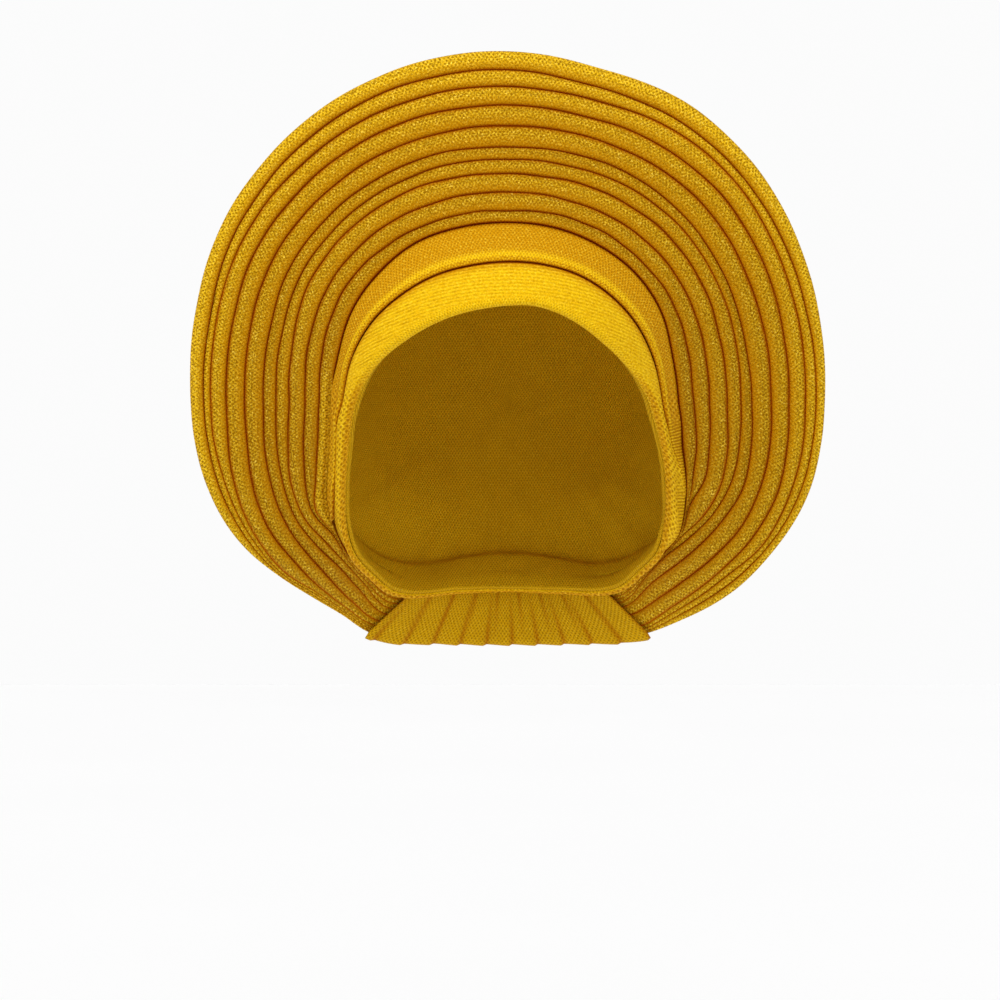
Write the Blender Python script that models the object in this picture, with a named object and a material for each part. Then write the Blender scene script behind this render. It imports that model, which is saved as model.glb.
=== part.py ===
"""A pre-tied pleated head wrap: a cap, two bands round the face, a fan of ten pleats and a nape binding.

The wearer looks along -Y with +Z up. The origin is the middle of the head opening at brow height.
Every piece is a ring round the Y axis. Its sections are drawn in two sizes, a radius from the axis and a
depth along it, at a clock angle: 0 is the top, plus is towards +X and 180 is the nape.
"""

import math

import bmesh
import bpy
from mathutils import Vector

# Sizes are in millimetres and angles in degrees, unless a name says otherwise.
METRES = 0.001
FULL_TURN = 360
CLOCK_STEP = 6

# Radii are as they look from the front, at this distance and from this eye point (x and z).
EYE_DISTANCE = 1500.0
EYE_X = -3.5
EYE_Z = -44.0

CAP_WALL = 2.0
LAYER_GAP = 0.3
FACET_ROOM = 0.25
TWIST_ROOM = 0.7

# How far each layer's face stands out from the visible surface of the bands.
CAP_UNDER_BANDS = -4.3
LIP_UNDERSIDE = -1.4

# The lip between the bands runs back to the fan's seat between two clock angles on each side.
LEFT_LIP_CLOCKS = (116.0, 130.0)
RIGHT_LIP_CLOCKS = (108.0, 124.0)
UPPER_BAND_LEFT_END = -120
UPPER_BAND_RIGHT_END = 114
# The cloth on the cap twists between these clock angles.
TWIST_CLOCKS = (92.0, 118.0)

BAND_TUCK = 3.0
FAN_FOOT = 8.0
FAN_BACK = 3.0
# The fan leans back most at its foot and stands more upright at the rim.
FAN_CURL = 0.25
PLEAT_HEIGHT = 3.4
PLEAT_NOSE = 1.9
PLEAT_VALLEY = 0.3
PLEAT_OVERLAP = 0.5
FULL_PLEAT_WIDTH = 6.5
RIM_HEIGHT = 0.6
RIM_BACK_SHARE = 0.15
FOLDS_ON_THE_BACK = (9, 6, 3)

GATHER_CLOCK = 132
BINDING_CLOCK = 150
BOUND_SQUEEZE = 0.55
BINDING_WALL = 1.5
BINDING_CORNER = 1.2
SHARP_EDGE = 50.0

# The faces of the bands from front to back: a share of the width, then how far the face stands out.
LOWER_BAND_FACE = (
    (0.0, -2.2), (0.10, -0.3), (0.35, 0.5), (0.70, 0.2), (0.93, -0.9), (0.985, -2.0), (1.03, -2.2),
)
LOWER_BAND_INSIDE = (1.03, 0.8, 0.55, 0.3, 0.02)
UPPER_BAND_FACE = ((-0.02, 0.1), (0.07, 1.3), (0.20, 0.2), (0.55, -0.2), (1.0, -0.4))
UPPER_BAND_INSIDE = (1.0, 0.8, 0.6, 0.4, 0.22)
UPPER_BAND_LIP = ((0.13, LIP_UNDERSIDE), (0.0, LIP_UNDERSIDE))
# The rows of the cap's faces, in lines behind the face edge.
CAP_ROWS = (0.03, 0.35, 0.7, 1.0, 1.35, 1.7, 2.0, 2.25, 2.6, 3.0, 3.5, 4.1, 4.7, 5.4)

# A section for each clock angle: the radius of each line that shows from the front.
FRONT_COLUMNS = (
    "rim", "pleat_1", "pleat_2", "pleat_3", "pleat_4", "pleat_5", "pleat_6", "pleat_7", "pleat_8", "pleat_9",
    "pleat_10", "fan_seat", "band_crease", "face_edge",
)
FRONT_SECTIONS = {
    -165: (108.5, 107.0, 105.5, 103.5, 100.5, 97.5, 94.5, 92.0, 89.5, 86.7, 84.0, 81.5, 84.5, 87.0),
    -150: (118.8, 118.0, 117.0, 116.0, 115.0, 112.5, 108.5, 105.5, 103.6, 102.2, 101.0, 93.5, 96.3, 98.0),
    -135: (122.4, 121.4, 120.4, 119.4, 116.9, 111.3, 104.7, 101.5, 100.2, 99.4, 98.6, 97.2, 97.0, 96.3),
    -120: (132.4, 129.6, 127.8, 126.1, 119.5, 111.9, 107.0, 103.7, 99.2, 97.0, 92.3, 91.5, 88.3, 82.9),
    -105: (138.0, 132.9, 130.0, 125.7, 117.7, 109.9, 104.5, 100.0, 93.5, 87.1, 82.0, 81.2, 78.6, 73.0),
    -90: (139.7, 134.0, 130.9, 124.3, 116.2, 107.8, 102.1, 96.4, 89.3, 83.2, 77.9, 77.9, 73.0, 67.3),
    -75: (142.7, 136.0, 133.0, 125.9, 117.7, 109.3, 103.6, 98.3, 91.0, 84.7, 77.5, 77.5, 71.7, 60.1),
    -60: (147.4, 140.8, 136.2, 128.9, 120.6, 112.2, 106.5, 101.6, 93.5, 86.7, 79.4, 79.4, 69.5, 52.4),
    -45: (150.4, 143.6, 137.8, 130.2, 121.5, 113.0, 107.3, 102.5, 94.2, 87.0, 80.1, 80.1, 66.3, 47.1),
    -30: (152.6, 145.5, 138.7, 130.7, 121.8, 113.2, 107.4, 102.1, 93.7, 85.8, 80.5, 80.5, 63.8, 43.6),
    -15: (153.8, 146.1, 138.8, 130.6, 121.5, 112.7, 106.9, 100.9, 92.4, 84.4, 79.2, 79.2, 61.7, 41.7),
    0: (153.6, 145.4, 138.2, 130.0, 121.0, 111.5, 106.0, 99.9, 91.5, 83.6, 78.5, 78.5, 61.2, 41.6),
    15: (151.6, 143.5, 137.3, 129.4, 120.9, 112.4, 106.8, 100.3, 92.0, 84.5, 78.9, 78.9, 62.0, 43.0),
    30: (152.6, 144.3, 139.4, 130.7, 121.7, 112.8, 107.7, 101.0, 92.6, 84.9, 79.2, 79.2, 63.6, 44.2),
    45: (150.2, 142.7, 139.0, 130.6, 121.7, 112.0, 107.5, 101.0, 92.7, 84.9, 79.4, 79.4, 64.9, 46.1),
    60: (146.1, 139.9, 135.5, 128.0, 119.2, 110.0, 105.8, 99.4, 91.5, 84.3, 78.1, 78.1, 66.2, 49.3),
    75: (142.0, 137.0, 132.6, 125.2, 117.0, 107.7, 103.6, 97.4, 89.3, 82.2, 75.5, 75.5, 67.1, 55.1),
    90: (139.5, 135.7, 131.1, 123.7, 115.9, 107.4, 102.7, 96.6, 88.9, 81.8, 75.7, 75.7, 68.2, 62.7),
    105: (138.9, 135.2, 131.3, 125.4, 117.6, 109.8, 104.5, 99.6, 91.9, 85.8, 80.3, 79.6, 75.5, 69.8),
    120: (134.2, 131.1, 128.9, 123.6, 116.6, 108.2, 103.0, 100.0, 93.8, 92.3, 91.2, 90.2, 87.0, 80.5),
    135: (127.4, 124.0, 121.0, 118.0, 111.4, 103.6, 100.0, 98.9, 98.0, 97.3, 96.5, 95.6, 94.8, 94.0),
    150: (119.0, 117.9, 116.7, 115.3, 109.0, 104.5, 102.0, 101.0, 100.0, 99.0, 98.0, 93.0, 94.5, 96.0),
    165: (108.5, 107.0, 105.5, 103.5, 100.5, 97.5, 94.5, 92.0, 89.5, 86.7, 84.0, 81.5, 84.5, 87.0),
    180: (105.0, 103.5, 102.0, 100.0, 97.5, 95.0, 92.0, 89.0, 86.5, 83.7, 81.0, 78.0, 80.5, 83.5),
}
PLEATS = FRONT_COLUMNS[:11]

# A section for each clock angle, the same on both sides: depths of the front lines, from the forehead (minus)
# to the back of the head, then radius and depth of the lines of the cap that the fan hides from the front.
SIDE_COLUMNS = (
    "rim", "pleat_10", "fan_seat", "band_crease", "face_edge", "over_crown_radius", "over_crown",
    "back_of_crown_radius", "back_of_crown", "occiput_radius", "occiput",
)
SIDE_SECTIONS = {
    0: (-15.0, -57.0, -57.0, -80.0, -89.0, 93.0, 0.0, 79.0, 52.0, 47.0, 85.0),
    30: (-14.0, -54.0, -54.0, -76.0, -86.0, 88.0, 0.0, 75.0, 52.0, 44.0, 85.0),
    60: (-8.0, -45.0, -45.0, -63.0, -75.0, 81.0, 0.0, 69.0, 52.0, 41.0, 85.0),
    90: (6.0, -29.0, -29.0, -42.0, -50.0, 78.0, 6.0, 66.0, 54.0, 39.0, 85.0),
    105: (16.0, -15.0, -15.0, -26.0, -34.0, 82.0, 14.0, 66.0, 57.0, 39.0, 86.0),
    120: (29.0, 4.0, 4.0, -6.0, -15.0, 88.0, 27.0, 66.0, 62.0, 38.0, 87.0),
    135: (45.0, 26.0, 26.0, 19.0, 11.0, 90.0, 45.0, 62.0, 70.0, 35.0, 89.0),
    150: (62.0, 53.0, 50.0, 46.0, 41.0, 82.0, 64.0, 56.0, 79.0, 31.0, 91.0),
    165: (74.0, 70.0, 65.0, 62.0, 58.5, 71.0, 75.5, 49.0, 85.5, 27.5, 93.3),
    180: (79.0, 77.0, 71.0, 68.5, 66.0, 66.0, 80.0, 46.0, 88.0, 26.0, 94.0),
}
BACK_POLE_DEPTH = 97.0
MERIDIAN = ("face_edge", "band_crease", "fan_seat", "over_crown", "back_of_crown", "occiput")
SEAT = 2.0
# Half the stretch of a curve over which its direction is measured.
NUDGE = 0.2

# Colour, roughness and metallic value of each cloth.
BAND_CLOTH = ((1.0, 0.55, 0.02, 1.0), 0.6, 0.1)
PLEAT_CLOTH = ((0.70, 0.38, 0.02, 1.0), 0.6, 0.2)
CAP_CLOTH = ((0.62, 0.33, 0.02, 1.0), 0.7, 0.0)


def smooth_step(x):
    """A ramp from 0 to 1 with level ends."""
    x = min(max(x, 0.0), 1.0)
    return x * x * (3 - 2 * x)


def hermite(places, values, x):
    """A smooth curve through values at rising places, read at x between the second and the last but one."""
    k = 1
    while places[k + 1] < x:
        k += 1
    span = places[k + 1] - places[k]
    slope_a = (values[k + 1] - values[k - 1]) / (places[k + 1] - places[k - 1])
    slope_b = (values[k + 2] - values[k]) / (places[k + 2] - places[k])
    u = (x - places[k]) / span
    rise = values[k + 1] - values[k]
    bend = slope_a * span * u * (1 - u) ** 2 - slope_b * span * u * u * (1 - u)
    return values[k] + rise * smooth_step(u) + bend


def front_value(column, clock):
    """A column of the front sections, read smoothly at any clock angle."""
    places = list(FRONT_SECTIONS)
    values = [section[FRONT_COLUMNS.index(column)] for section in FRONT_SECTIONS.values()]
    places = [p - FULL_TURN for p in places[-2:]] + places + [p + FULL_TURN for p in places[:2]]
    values = values[-2:] + values + values[:2]
    return hermite(places, values, clock)


def side_value(column, clock):
    """A column of the side sections, the same on both sides."""
    places = list(SIDE_SECTIONS)
    values = [section[SIDE_COLUMNS.index(column)] for section in SIDE_SECTIONS.values()]
    places = [-places[1]] + places + [2 * places[-1] - places[-2]]
    values = [values[1]] + values + [values[-2]]
    return hermite(places, values, abs(clock))


def line_point(line, clock):
    """Radius and depth of a named line."""
    if line in FRONT_COLUMNS:
        radius = front_value(line, clock)
    else:
        radius = side_value(line + "_radius", clock)
    return Vector((radius, side_value(line, clock)))


def head_point(clock, t, offset=0.0):
    """A point of the head's covering, t lines behind the face edge and offset out from its surface."""
    points = [line_point(line, clock) for line in MERIDIAN]
    pole = Vector((0.0, BACK_POLE_DEPTH))
    before = 2 * points[0] - points[1]
    beyond = Vector((-points[-1].x, points[-1].y))
    points = [before] + points + [pole, beyond]
    places = [0.0]
    for here, there in zip(points, points[1:]):
        places.append(places[-1] + (there - here).length)

    def read(place):
        return Vector([hermite(places, [p[axis] for p in points], place) for axis in (0, 1)])

    whole = min(int(t), len(MERIDIAN) - 1)
    here, there = places[whole + 1], places[whole + 2]
    at = here + (t - whole) * (there - here)
    low, high = max(at - NUDGE, places[1]), min(at + NUDGE, places[-2])
    along = (read(high) - read(low)).normalized()
    return read(at) + offset * Vector((along.y, -along.x))


def behind_seat(clock, distance):
    """The line number that lies a distance behind the fan's seat."""
    length = (line_point("over_crown", clock) - line_point("fan_seat", clock)).length
    return SEAT + distance / length


def place(radius, clock, depth):
    """A point as seen from the front, put at its true place."""
    angle = math.radians(clock)
    nearness = 1 + depth / EYE_DISTANCE
    x = EYE_X + nearness * (radius * math.sin(angle) - EYE_X)
    z = EYE_Z + nearness * (radius * math.cos(angle) - EYE_Z)
    return Vector((x, depth, z)) * METRES


def cap_offset(clock, t):
    """How far the cap's outer face stands out: low under the bands, level with the surface behind the fan."""
    start = behind_seat(clock, FAN_FOOT)
    return CAP_UNDER_BANDS * (1 - smooth_step((t - start) / (SEAT + 1 - start)))


def under_layer(clock):
    """How far out the inner face of a layer on the cap lies, with more room where the cloth twists."""
    start, end = TWIST_CLOCKS
    twist = smooth_step((abs(clock) - start) / (end - start))
    return CAP_UNDER_BANDS + LAYER_GAP + FACET_ROOM + TWIST_ROOM * twist


def lip_line(clock):
    """The line number of the lip between the bands, which runs back to the fan's seat over the ears."""
    start, end = LEFT_LIP_CLOCKS if clock < 0 else RIGHT_LIP_CLOCKS
    return 1 + smooth_step((abs(clock) - start) / (end - start))


def lower_band_section(clock):
    """A crowned band with a rolled face edge."""
    floor = under_layer(clock)
    end = lip_line(clock)
    section = [head_point(clock, share * end, offset) for share, offset in LOWER_BAND_FACE]
    section += [head_point(clock, share * end, floor) for share in LOWER_BAND_INSIDE]
    return [(p.x, clock, p.y) for p in section]


def upper_band_section(clock):
    """A band with a raised lip on its front edge; its back edge is tucked under the fan."""
    front = lip_line(clock)
    back = behind_seat(clock, BAND_TUCK)
    width = back - front
    inside = tuple((share, under_layer(clock)) for share in UPPER_BAND_INSIDE)
    outline = UPPER_BAND_FACE + inside + UPPER_BAND_LIP
    section = [head_point(clock, front + share * width, offset) for share, offset in outline]
    return [(p.x, clock, p.y) for p in section]


def gathered_share(clock):
    """0 where the pleats stand free and 1 where the binding holds them flat."""
    return smooth_step((abs(clock) - GATHER_CLOCK) / (BINDING_CLOCK - GATHER_CLOCK))


def fan_face(clock):
    """The radius and depth of the rim and of every pleat's inner fold."""
    curl = FAN_CURL * (1 - gathered_share(clock))
    rim = line_point("rim", clock)
    root = line_point("pleat_10", clock)
    folds = []
    for line in PLEATS:
        radius = front_value(line, clock)
        share = (radius - root.x) / (rim.x - root.x)
        lean = share * (1 + curl * (1 - share))
        folds.append(Vector((radius, root.y + lean * (rim.y - root.y))))
    return folds


def raised(point_a, point_b, share, height):
    """A point between two folds, raised towards the viewer."""
    point = point_a.lerp(point_b, share)
    return Vector((point.x, point.y - height))


def fan_section(clock):
    """Ten rounded pleats in front, a plain back, and a foot that stands on the cap behind the upper band."""
    folds = fan_face(clock)
    gathered = gathered_share(clock)
    section = [raised(folds[0], folds[1], 0.0, RIM_HEIGHT)]
    for outer, inner in zip(folds, folds[1:]):
        width = outer.x - inner.x
        full = min(1.0, width / FULL_PLEAT_WIDTH) * (1 - BOUND_SQUEEZE * gathered)
        section.append(raised(inner, outer, 0.5, PLEAT_HEIGHT * full))
        section.append(raised(inner, outer, 0.0, PLEAT_NOSE * full))
        section.append(raised(inner, outer, min(0.4, PLEAT_OVERLAP / width), PLEAT_VALLEY * full))
    section.pop()
    step = behind_seat(clock, BAND_TUCK + LAYER_GAP)
    foot = behind_seat(clock, FAN_FOOT)
    low = under_layer(clock)
    seat = [(SEAT, LAYER_GAP), (step, LAYER_GAP), (step, low), (foot, low)]
    root = folds[-1]
    end = [(0.0, 0.0), (0.0, FAN_BACK * 0.4), (0.0, FAN_BACK * 0.7), (0.0, FAN_BACK)]
    for (t, offset), (out, back) in zip(seat, end):
        standing = head_point(clock, t, offset)
        section.append(standing.lerp(root + Vector((out, back)), gathered))
    for fold in FOLDS_ON_THE_BACK:
        section.append(raised(folds[fold], folds[fold], 0.0, -FAN_BACK))
    section.append(raised(folds[0], folds[1], RIM_BACK_SHARE, -FAN_BACK))
    return [(p.x, clock, p.y) for p in section]


def binding_section(clock, outer):
    """A rounded band round the gathered pleat ends, its outer or inner face."""
    folds = fan_face(clock)
    room = LAYER_GAP + TWIST_ROOM + (BINDING_WALL if outer else 0.0)
    front = PLEAT_HEIGHT * (1 - BOUND_SQUEEZE) + room
    back = FAN_BACK + room
    rim, root = folds[0], folds[-1]
    corner = BINDING_CORNER
    section = [
        Vector((rim.x + room, rim.y - front + corner)), Vector((rim.x + room - corner, rim.y - front)),
        Vector((root.x - room + corner, root.y - front)), Vector((root.x - room, root.y - front + corner)),
        Vector((root.x - room, root.y + back - corner)), Vector((root.x - room + corner, root.y + back)),
        Vector((rim.x + room - corner, rim.y + back)), Vector((rim.x + room, rim.y + back - corner)),
    ]
    return [(p.x, clock, p.y) for p in section]


def ring_clocks():
    """Clock angles all the way round."""
    half = FULL_TURN // 2
    return list(range(CLOCK_STEP - half, half + 1, CLOCK_STEP))


def cloth(name, look):
    """A cloth material."""
    colour, roughness, metallic = look
    material = bpy.data.materials.new(name)
    material.use_nodes = True
    shader = material.node_tree.nodes["Principled BSDF"]
    shader.inputs["Base Color"].default_value = colour
    shader.inputs["Roughness"].default_value = roughness
    shader.inputs["Metallic"].default_value = metallic
    material.diffuse_color = colour
    return material


def finish(name, bm, look):
    """Turn a bmesh into a named, smooth-shaded object."""
    if not any(edge.is_boundary for edge in bm.edges):
        bmesh.ops.recalc_face_normals(bm, faces=bm.faces)
    mesh = bpy.data.meshes.new(name)
    bm.to_mesh(mesh)
    bm.free()
    mesh.shade_smooth()
    mesh.set_sharp_from_angle(angle=math.radians(SHARP_EDGE))
    mesh.materials.append(cloth(name + "_cloth", look))
    piece = bpy.data.objects.new(name, mesh)
    bpy.context.scene.collection.objects.link(piece)
    return piece


def join_loops(bm, here, there):
    """Faces between two loops of as many points."""
    count = len(here)
    for j in range(count):
        k = (j + 1) % count
        bm.faces.new((here[j], here[k], there[k], there[j]))


def skin(bm, sections, ring):
    """Faces over neighbouring sections, all the way round a ring or open at both ends."""
    loops = [[bm.verts.new(place(*point)) for point in section] for section in sections]
    for here, there in zip(loops, loops[1:]):
        join_loops(bm, here, there)
    if ring:
        join_loops(bm, loops[-1], loops[0])
    return loops


def crown_cap():
    """The cap over the skull, open to the face and the neck."""
    bm = bmesh.new()
    clocks = ring_clocks()
    rows = []
    for t in CAP_ROWS:
        points = [head_point(clock, t, cap_offset(clock, t)) for clock in clocks]
        rows.append([bm.verts.new(place(p.x, clock, p.y)) for p, clock in zip(points, clocks)])
    for here, there in zip(rows, rows[1:]):
        join_loops(bm, here, there)
    pole = bm.verts.new(place(0.0, 0.0, BACK_POLE_DEPTH))
    last = rows[-1]
    for j, vert in enumerate(last):
        bm.faces.new((vert, last[(j + 1) % len(last)], pole))
    piece = finish("crown_cap", bm, CAP_CLOTH)
    wall = piece.modifiers.new("wall", "SOLIDIFY")
    wall.thickness = CAP_WALL * METRES
    wall.offset = -1.0
    return piece


def lower_band():
    """The band round the face, which closes round the nape as the hem of the cap."""
    bm = bmesh.new()
    skin(bm, [lower_band_section(clock) for clock in ring_clocks()], ring=True)
    return finish("lower_band", bm, BAND_CLOTH)


def upper_band():
    """The second band, over the forehead from ear to ear."""
    bm = bmesh.new()
    clocks = range(UPPER_BAND_LEFT_END, UPPER_BAND_RIGHT_END + 1, CLOCK_STEP)
    loops = skin(bm, [upper_band_section(clock) for clock in clocks], ring=False)
    for end in (loops[0], loops[-1]):
        bm.faces.new(end)
    return finish("upper_band", bm, BAND_CLOTH)


def pleated_fan():
    """The halo of pleats, gathered at the nape."""
    bm = bmesh.new()
    skin(bm, [fan_section(clock) for clock in ring_clocks()], ring=True)
    return finish("pleated_fan", bm, PLEAT_CLOTH)


def nape_binding():
    """The strap wound round the gathered pleat ends, from ear side to ear side behind the neck."""
    bm = bmesh.new()
    clocks = range(BINDING_CLOCK, FULL_TURN - BINDING_CLOCK + 1, CLOCK_STEP)
    clocks = [clock if clock <= FULL_TURN / 2 else clock - FULL_TURN for clock in clocks]
    outer = skin(bm, [binding_section(clock, True) for clock in clocks], ring=False)
    inner = skin(bm, [binding_section(clock, False) for clock in clocks], ring=False)
    for end in (0, -1):
        join_loops(bm, outer[end], inner[end])
    return finish("nape_binding", bm, CAP_CLOTH)


def main():
    for old in list(bpy.data.objects):
        bpy.data.objects.remove(old)
    crown_cap()
    lower_band()
    upper_band()
    pleated_fan()
    nape_binding()


main()
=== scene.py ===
"""A pre-tied pleated head wrap: its cloth, its colours and a plain studio round it.

Every piece is a ring of cloth round the Y axis. A section through the ring is drawn in two sizes, a radius
from the axis and a depth along it, at a clock angle: 0 is the top, plus is towards +X and 180 is the nape.
Radii are as they look from the front, so the folds lie where the eye sees them.
"""

import math

import bpy
import numpy as np
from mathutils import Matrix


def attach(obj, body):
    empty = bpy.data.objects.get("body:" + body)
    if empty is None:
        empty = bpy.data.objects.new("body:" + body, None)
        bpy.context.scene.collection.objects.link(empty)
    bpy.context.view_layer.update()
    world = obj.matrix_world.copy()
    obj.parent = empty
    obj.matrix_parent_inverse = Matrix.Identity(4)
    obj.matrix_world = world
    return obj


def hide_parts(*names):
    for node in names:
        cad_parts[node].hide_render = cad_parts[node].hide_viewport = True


bl_info = {
    "name": "Pleated head wrap",
    "version": (1, 0, 0),
    "blender": (4, 5, 0),
    "location": "View3D > Sidebar > Head wrap",
    "description": "Makes the cloth of a pre-tied pleated head wrap and a plain studio",
    "category": "Object",
}

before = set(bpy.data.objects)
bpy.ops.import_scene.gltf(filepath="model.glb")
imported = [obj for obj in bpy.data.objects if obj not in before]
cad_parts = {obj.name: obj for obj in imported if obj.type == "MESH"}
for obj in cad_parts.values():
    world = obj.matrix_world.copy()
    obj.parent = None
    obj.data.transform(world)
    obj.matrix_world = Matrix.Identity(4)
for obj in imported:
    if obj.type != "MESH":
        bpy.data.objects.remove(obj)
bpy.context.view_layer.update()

MM = 0.001
FULL_TURN = 360

# The eye from which the radii are taken: its distance in front of the origin, and its x and z. These, and
# all sizes without a unit of their own below, are in millimetres.
EYE_DISTANCE = 1500.0
EYE_X = -3.5
EYE_Z = -44.0
# How wide a frame the eye sees at the origin.
FRAME_WIDTH = 440.0

# A section for each clock angle: the radius in millimetres of each line that shows from the front.
FRONT_COLUMNS = ("rim", "pleat_1", "pleat_2", "pleat_3", "pleat_4", "pleat_5", "pleat_6", "pleat_7",
                 "pleat_8", "pleat_9", "pleat_10", "fan_seat", "band_crease", "face_edge")
FRONT_SECTIONS = {
    -165: (108.5, 107.0, 105.5, 103.5, 100.5, 97.5, 94.5, 92.0, 89.5, 86.7, 84.0, 81.5, 84.5, 87.0),
    -150: (118.8, 118.0, 117.0, 116.0, 115.0, 112.5, 108.5, 105.5, 103.0, 100.6, 98.2, 93.5, 96.3, 98.0),
    -142: (119.5, 118.8, 118.0, 117.2, 115.9, 112.2, 106.0, 102.6, 101.2, 99.6, 97.9, 97.0, 97.4, 97.6),
    -135: (122.4, 121.4, 120.4, 119.4, 116.9, 111.3, 104.7, 101.3, 99.6, 98.9, 98.3, 97.2, 96.8, 96.0),
    -128: (126.8, 126.2, 125.2, 124.0, 117.9, 111.2, 105.7, 101.8, 97.2, 96.4, 95.6, 95.2, 93.8, 90.5),
    -120: (132.4, 129.6, 127.8, 126.1, 119.5, 111.9, 107.0, 103.7, 99.2, 97.6, 91.8, 91.5, 88.3, 82.9),
    -112: (136.2, 131.8, 129.3, 126.6, 119.1, 111.2, 106.1, 102.6, 96.5, 91.3, 85.7, 85.4, 82.2, 76.9),
    -105: (138.0, 132.9, 130.0, 125.7, 117.7, 109.9, 104.5, 100.0, 93.5, 87.1, 81.4, 81.2, 78.6, 73.0),
    -97: (139.1, 133.6, 130.8, 124.5, 116.3, 108.4, 102.9, 97.5, 90.6, 84.1, 78.8, 78.6, 76.0, 69.7),
    -90: (139.7, 134.0, 130.9, 124.3, 116.2, 107.8, 102.1, 96.4, 89.3, 83.2, 77.9, 77.9, 73.0, 67.3),
    -75: (142.7, 136.0, 133.0, 125.9, 117.7, 109.3, 103.6, 98.3, 91.0, 84.7, 77.5, 77.5, 71.7, 60.1),
    -60: (147.4, 140.8, 136.2, 128.9, 120.6, 112.2, 106.5, 101.6, 93.5, 86.7, 79.4, 79.4, 69.5, 52.4),
    -45: (150.4, 143.6, 137.8, 130.2, 121.5, 113.0, 107.3, 102.5, 94.2, 87.0, 80.1, 80.1, 66.3, 47.1),
    -30: (152.6, 145.5, 138.7, 130.7, 121.8, 113.2, 107.4, 102.1, 93.7, 85.8, 80.5, 80.5, 63.8, 43.6),
    -15: (153.8, 146.1, 138.8, 130.6, 121.5, 112.7, 106.9, 100.9, 92.4, 84.4, 79.2, 79.2, 61.7, 41.7),
    0: (153.6, 145.4, 138.2, 130.0, 121.0, 111.5, 106.0, 99.9, 91.5, 83.6, 78.5, 78.5, 61.2, 41.6),
    15: (151.6, 143.5, 137.3, 129.4, 120.9, 112.4, 106.8, 100.3, 92.0, 84.5, 78.9, 78.9, 62.0, 43.0),
    30: (152.6, 144.3, 139.4, 130.7, 121.7, 112.8, 107.7, 101.0, 92.6, 84.9, 79.2, 79.2, 63.6, 44.2),
    45: (150.2, 142.7, 139.0, 130.6, 121.7, 112.0, 107.5, 101.0, 92.7, 84.9, 79.4, 79.4, 64.9, 46.1),
    60: (146.1, 139.9, 135.5, 128.0, 119.2, 110.0, 105.8, 99.4, 91.5, 84.3, 78.1, 78.1, 66.2, 49.3),
    75: (142.0, 137.0, 132.6, 125.2, 117.0, 107.7, 103.6, 97.4, 89.3, 82.2, 75.2, 75.2, 67.1, 55.1),
    90: (139.5, 135.7, 131.1, 123.7, 115.9, 107.4, 102.7, 96.6, 88.9, 81.8, 75.3, 75.3, 68.2, 62.7),
    97: (139.2, 135.6, 131.3, 124.4, 116.7, 108.4, 103.5, 97.7, 90.0, 83.2, 77.1, 77.1, 70.4, 65.5),
    105: (138.9, 135.2, 131.3, 125.4, 117.6, 109.8, 104.5, 99.6, 91.9, 85.8, 79.9, 79.6, 74.8, 69.8),
    112: (137.3, 133.9, 130.6, 125.4, 117.8, 110.2, 104.6, 101.0, 93.4, 88.0, 84.6, 84.3, 79.6, 74.4),
    120: (134.2, 131.1, 128.9, 123.6, 116.6, 108.2, 103.0, 100.3, 92.6, 91.8, 90.5, 90.2, 86.0, 80.5),
    128: (131.2, 127.5, 124.0, 120.4, 113.8, 105.8, 100.0, 97.2, 96.6, 96.2, 95.8, 95.3, 94.5, 87.5),
    135: (127.4, 124.0, 121.0, 118.0, 111.4, 103.6, 97.6, 97.3, 97.0, 96.7, 96.4, 95.8, 95.0, 94.0),
    142: (123.2, 120.8, 118.5, 116.2, 109.7, 102.5, 98.6, 98.1, 97.5, 96.9, 96.3, 95.5, 95.2, 95.3),
    150: (119.0, 117.9, 116.7, 115.3, 109.0, 104.5, 102.0, 100.6, 99.1, 97.5, 95.9, 93.0, 94.5, 96.0),
    165: (108.5, 107.0, 105.5, 103.5, 100.5, 97.5, 94.5, 92.0, 89.5, 86.7, 84.0, 81.5, 84.5, 87.0),
    180: (105.0, 103.5, 102.0, 100.0, 97.5, 95.0, 92.0, 89.0, 86.5, 83.7, 81.0, 78.0, 80.5, 83.5),
}
PLEATS = 10
FOLDS = slice(0, PLEATS + 1)

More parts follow.
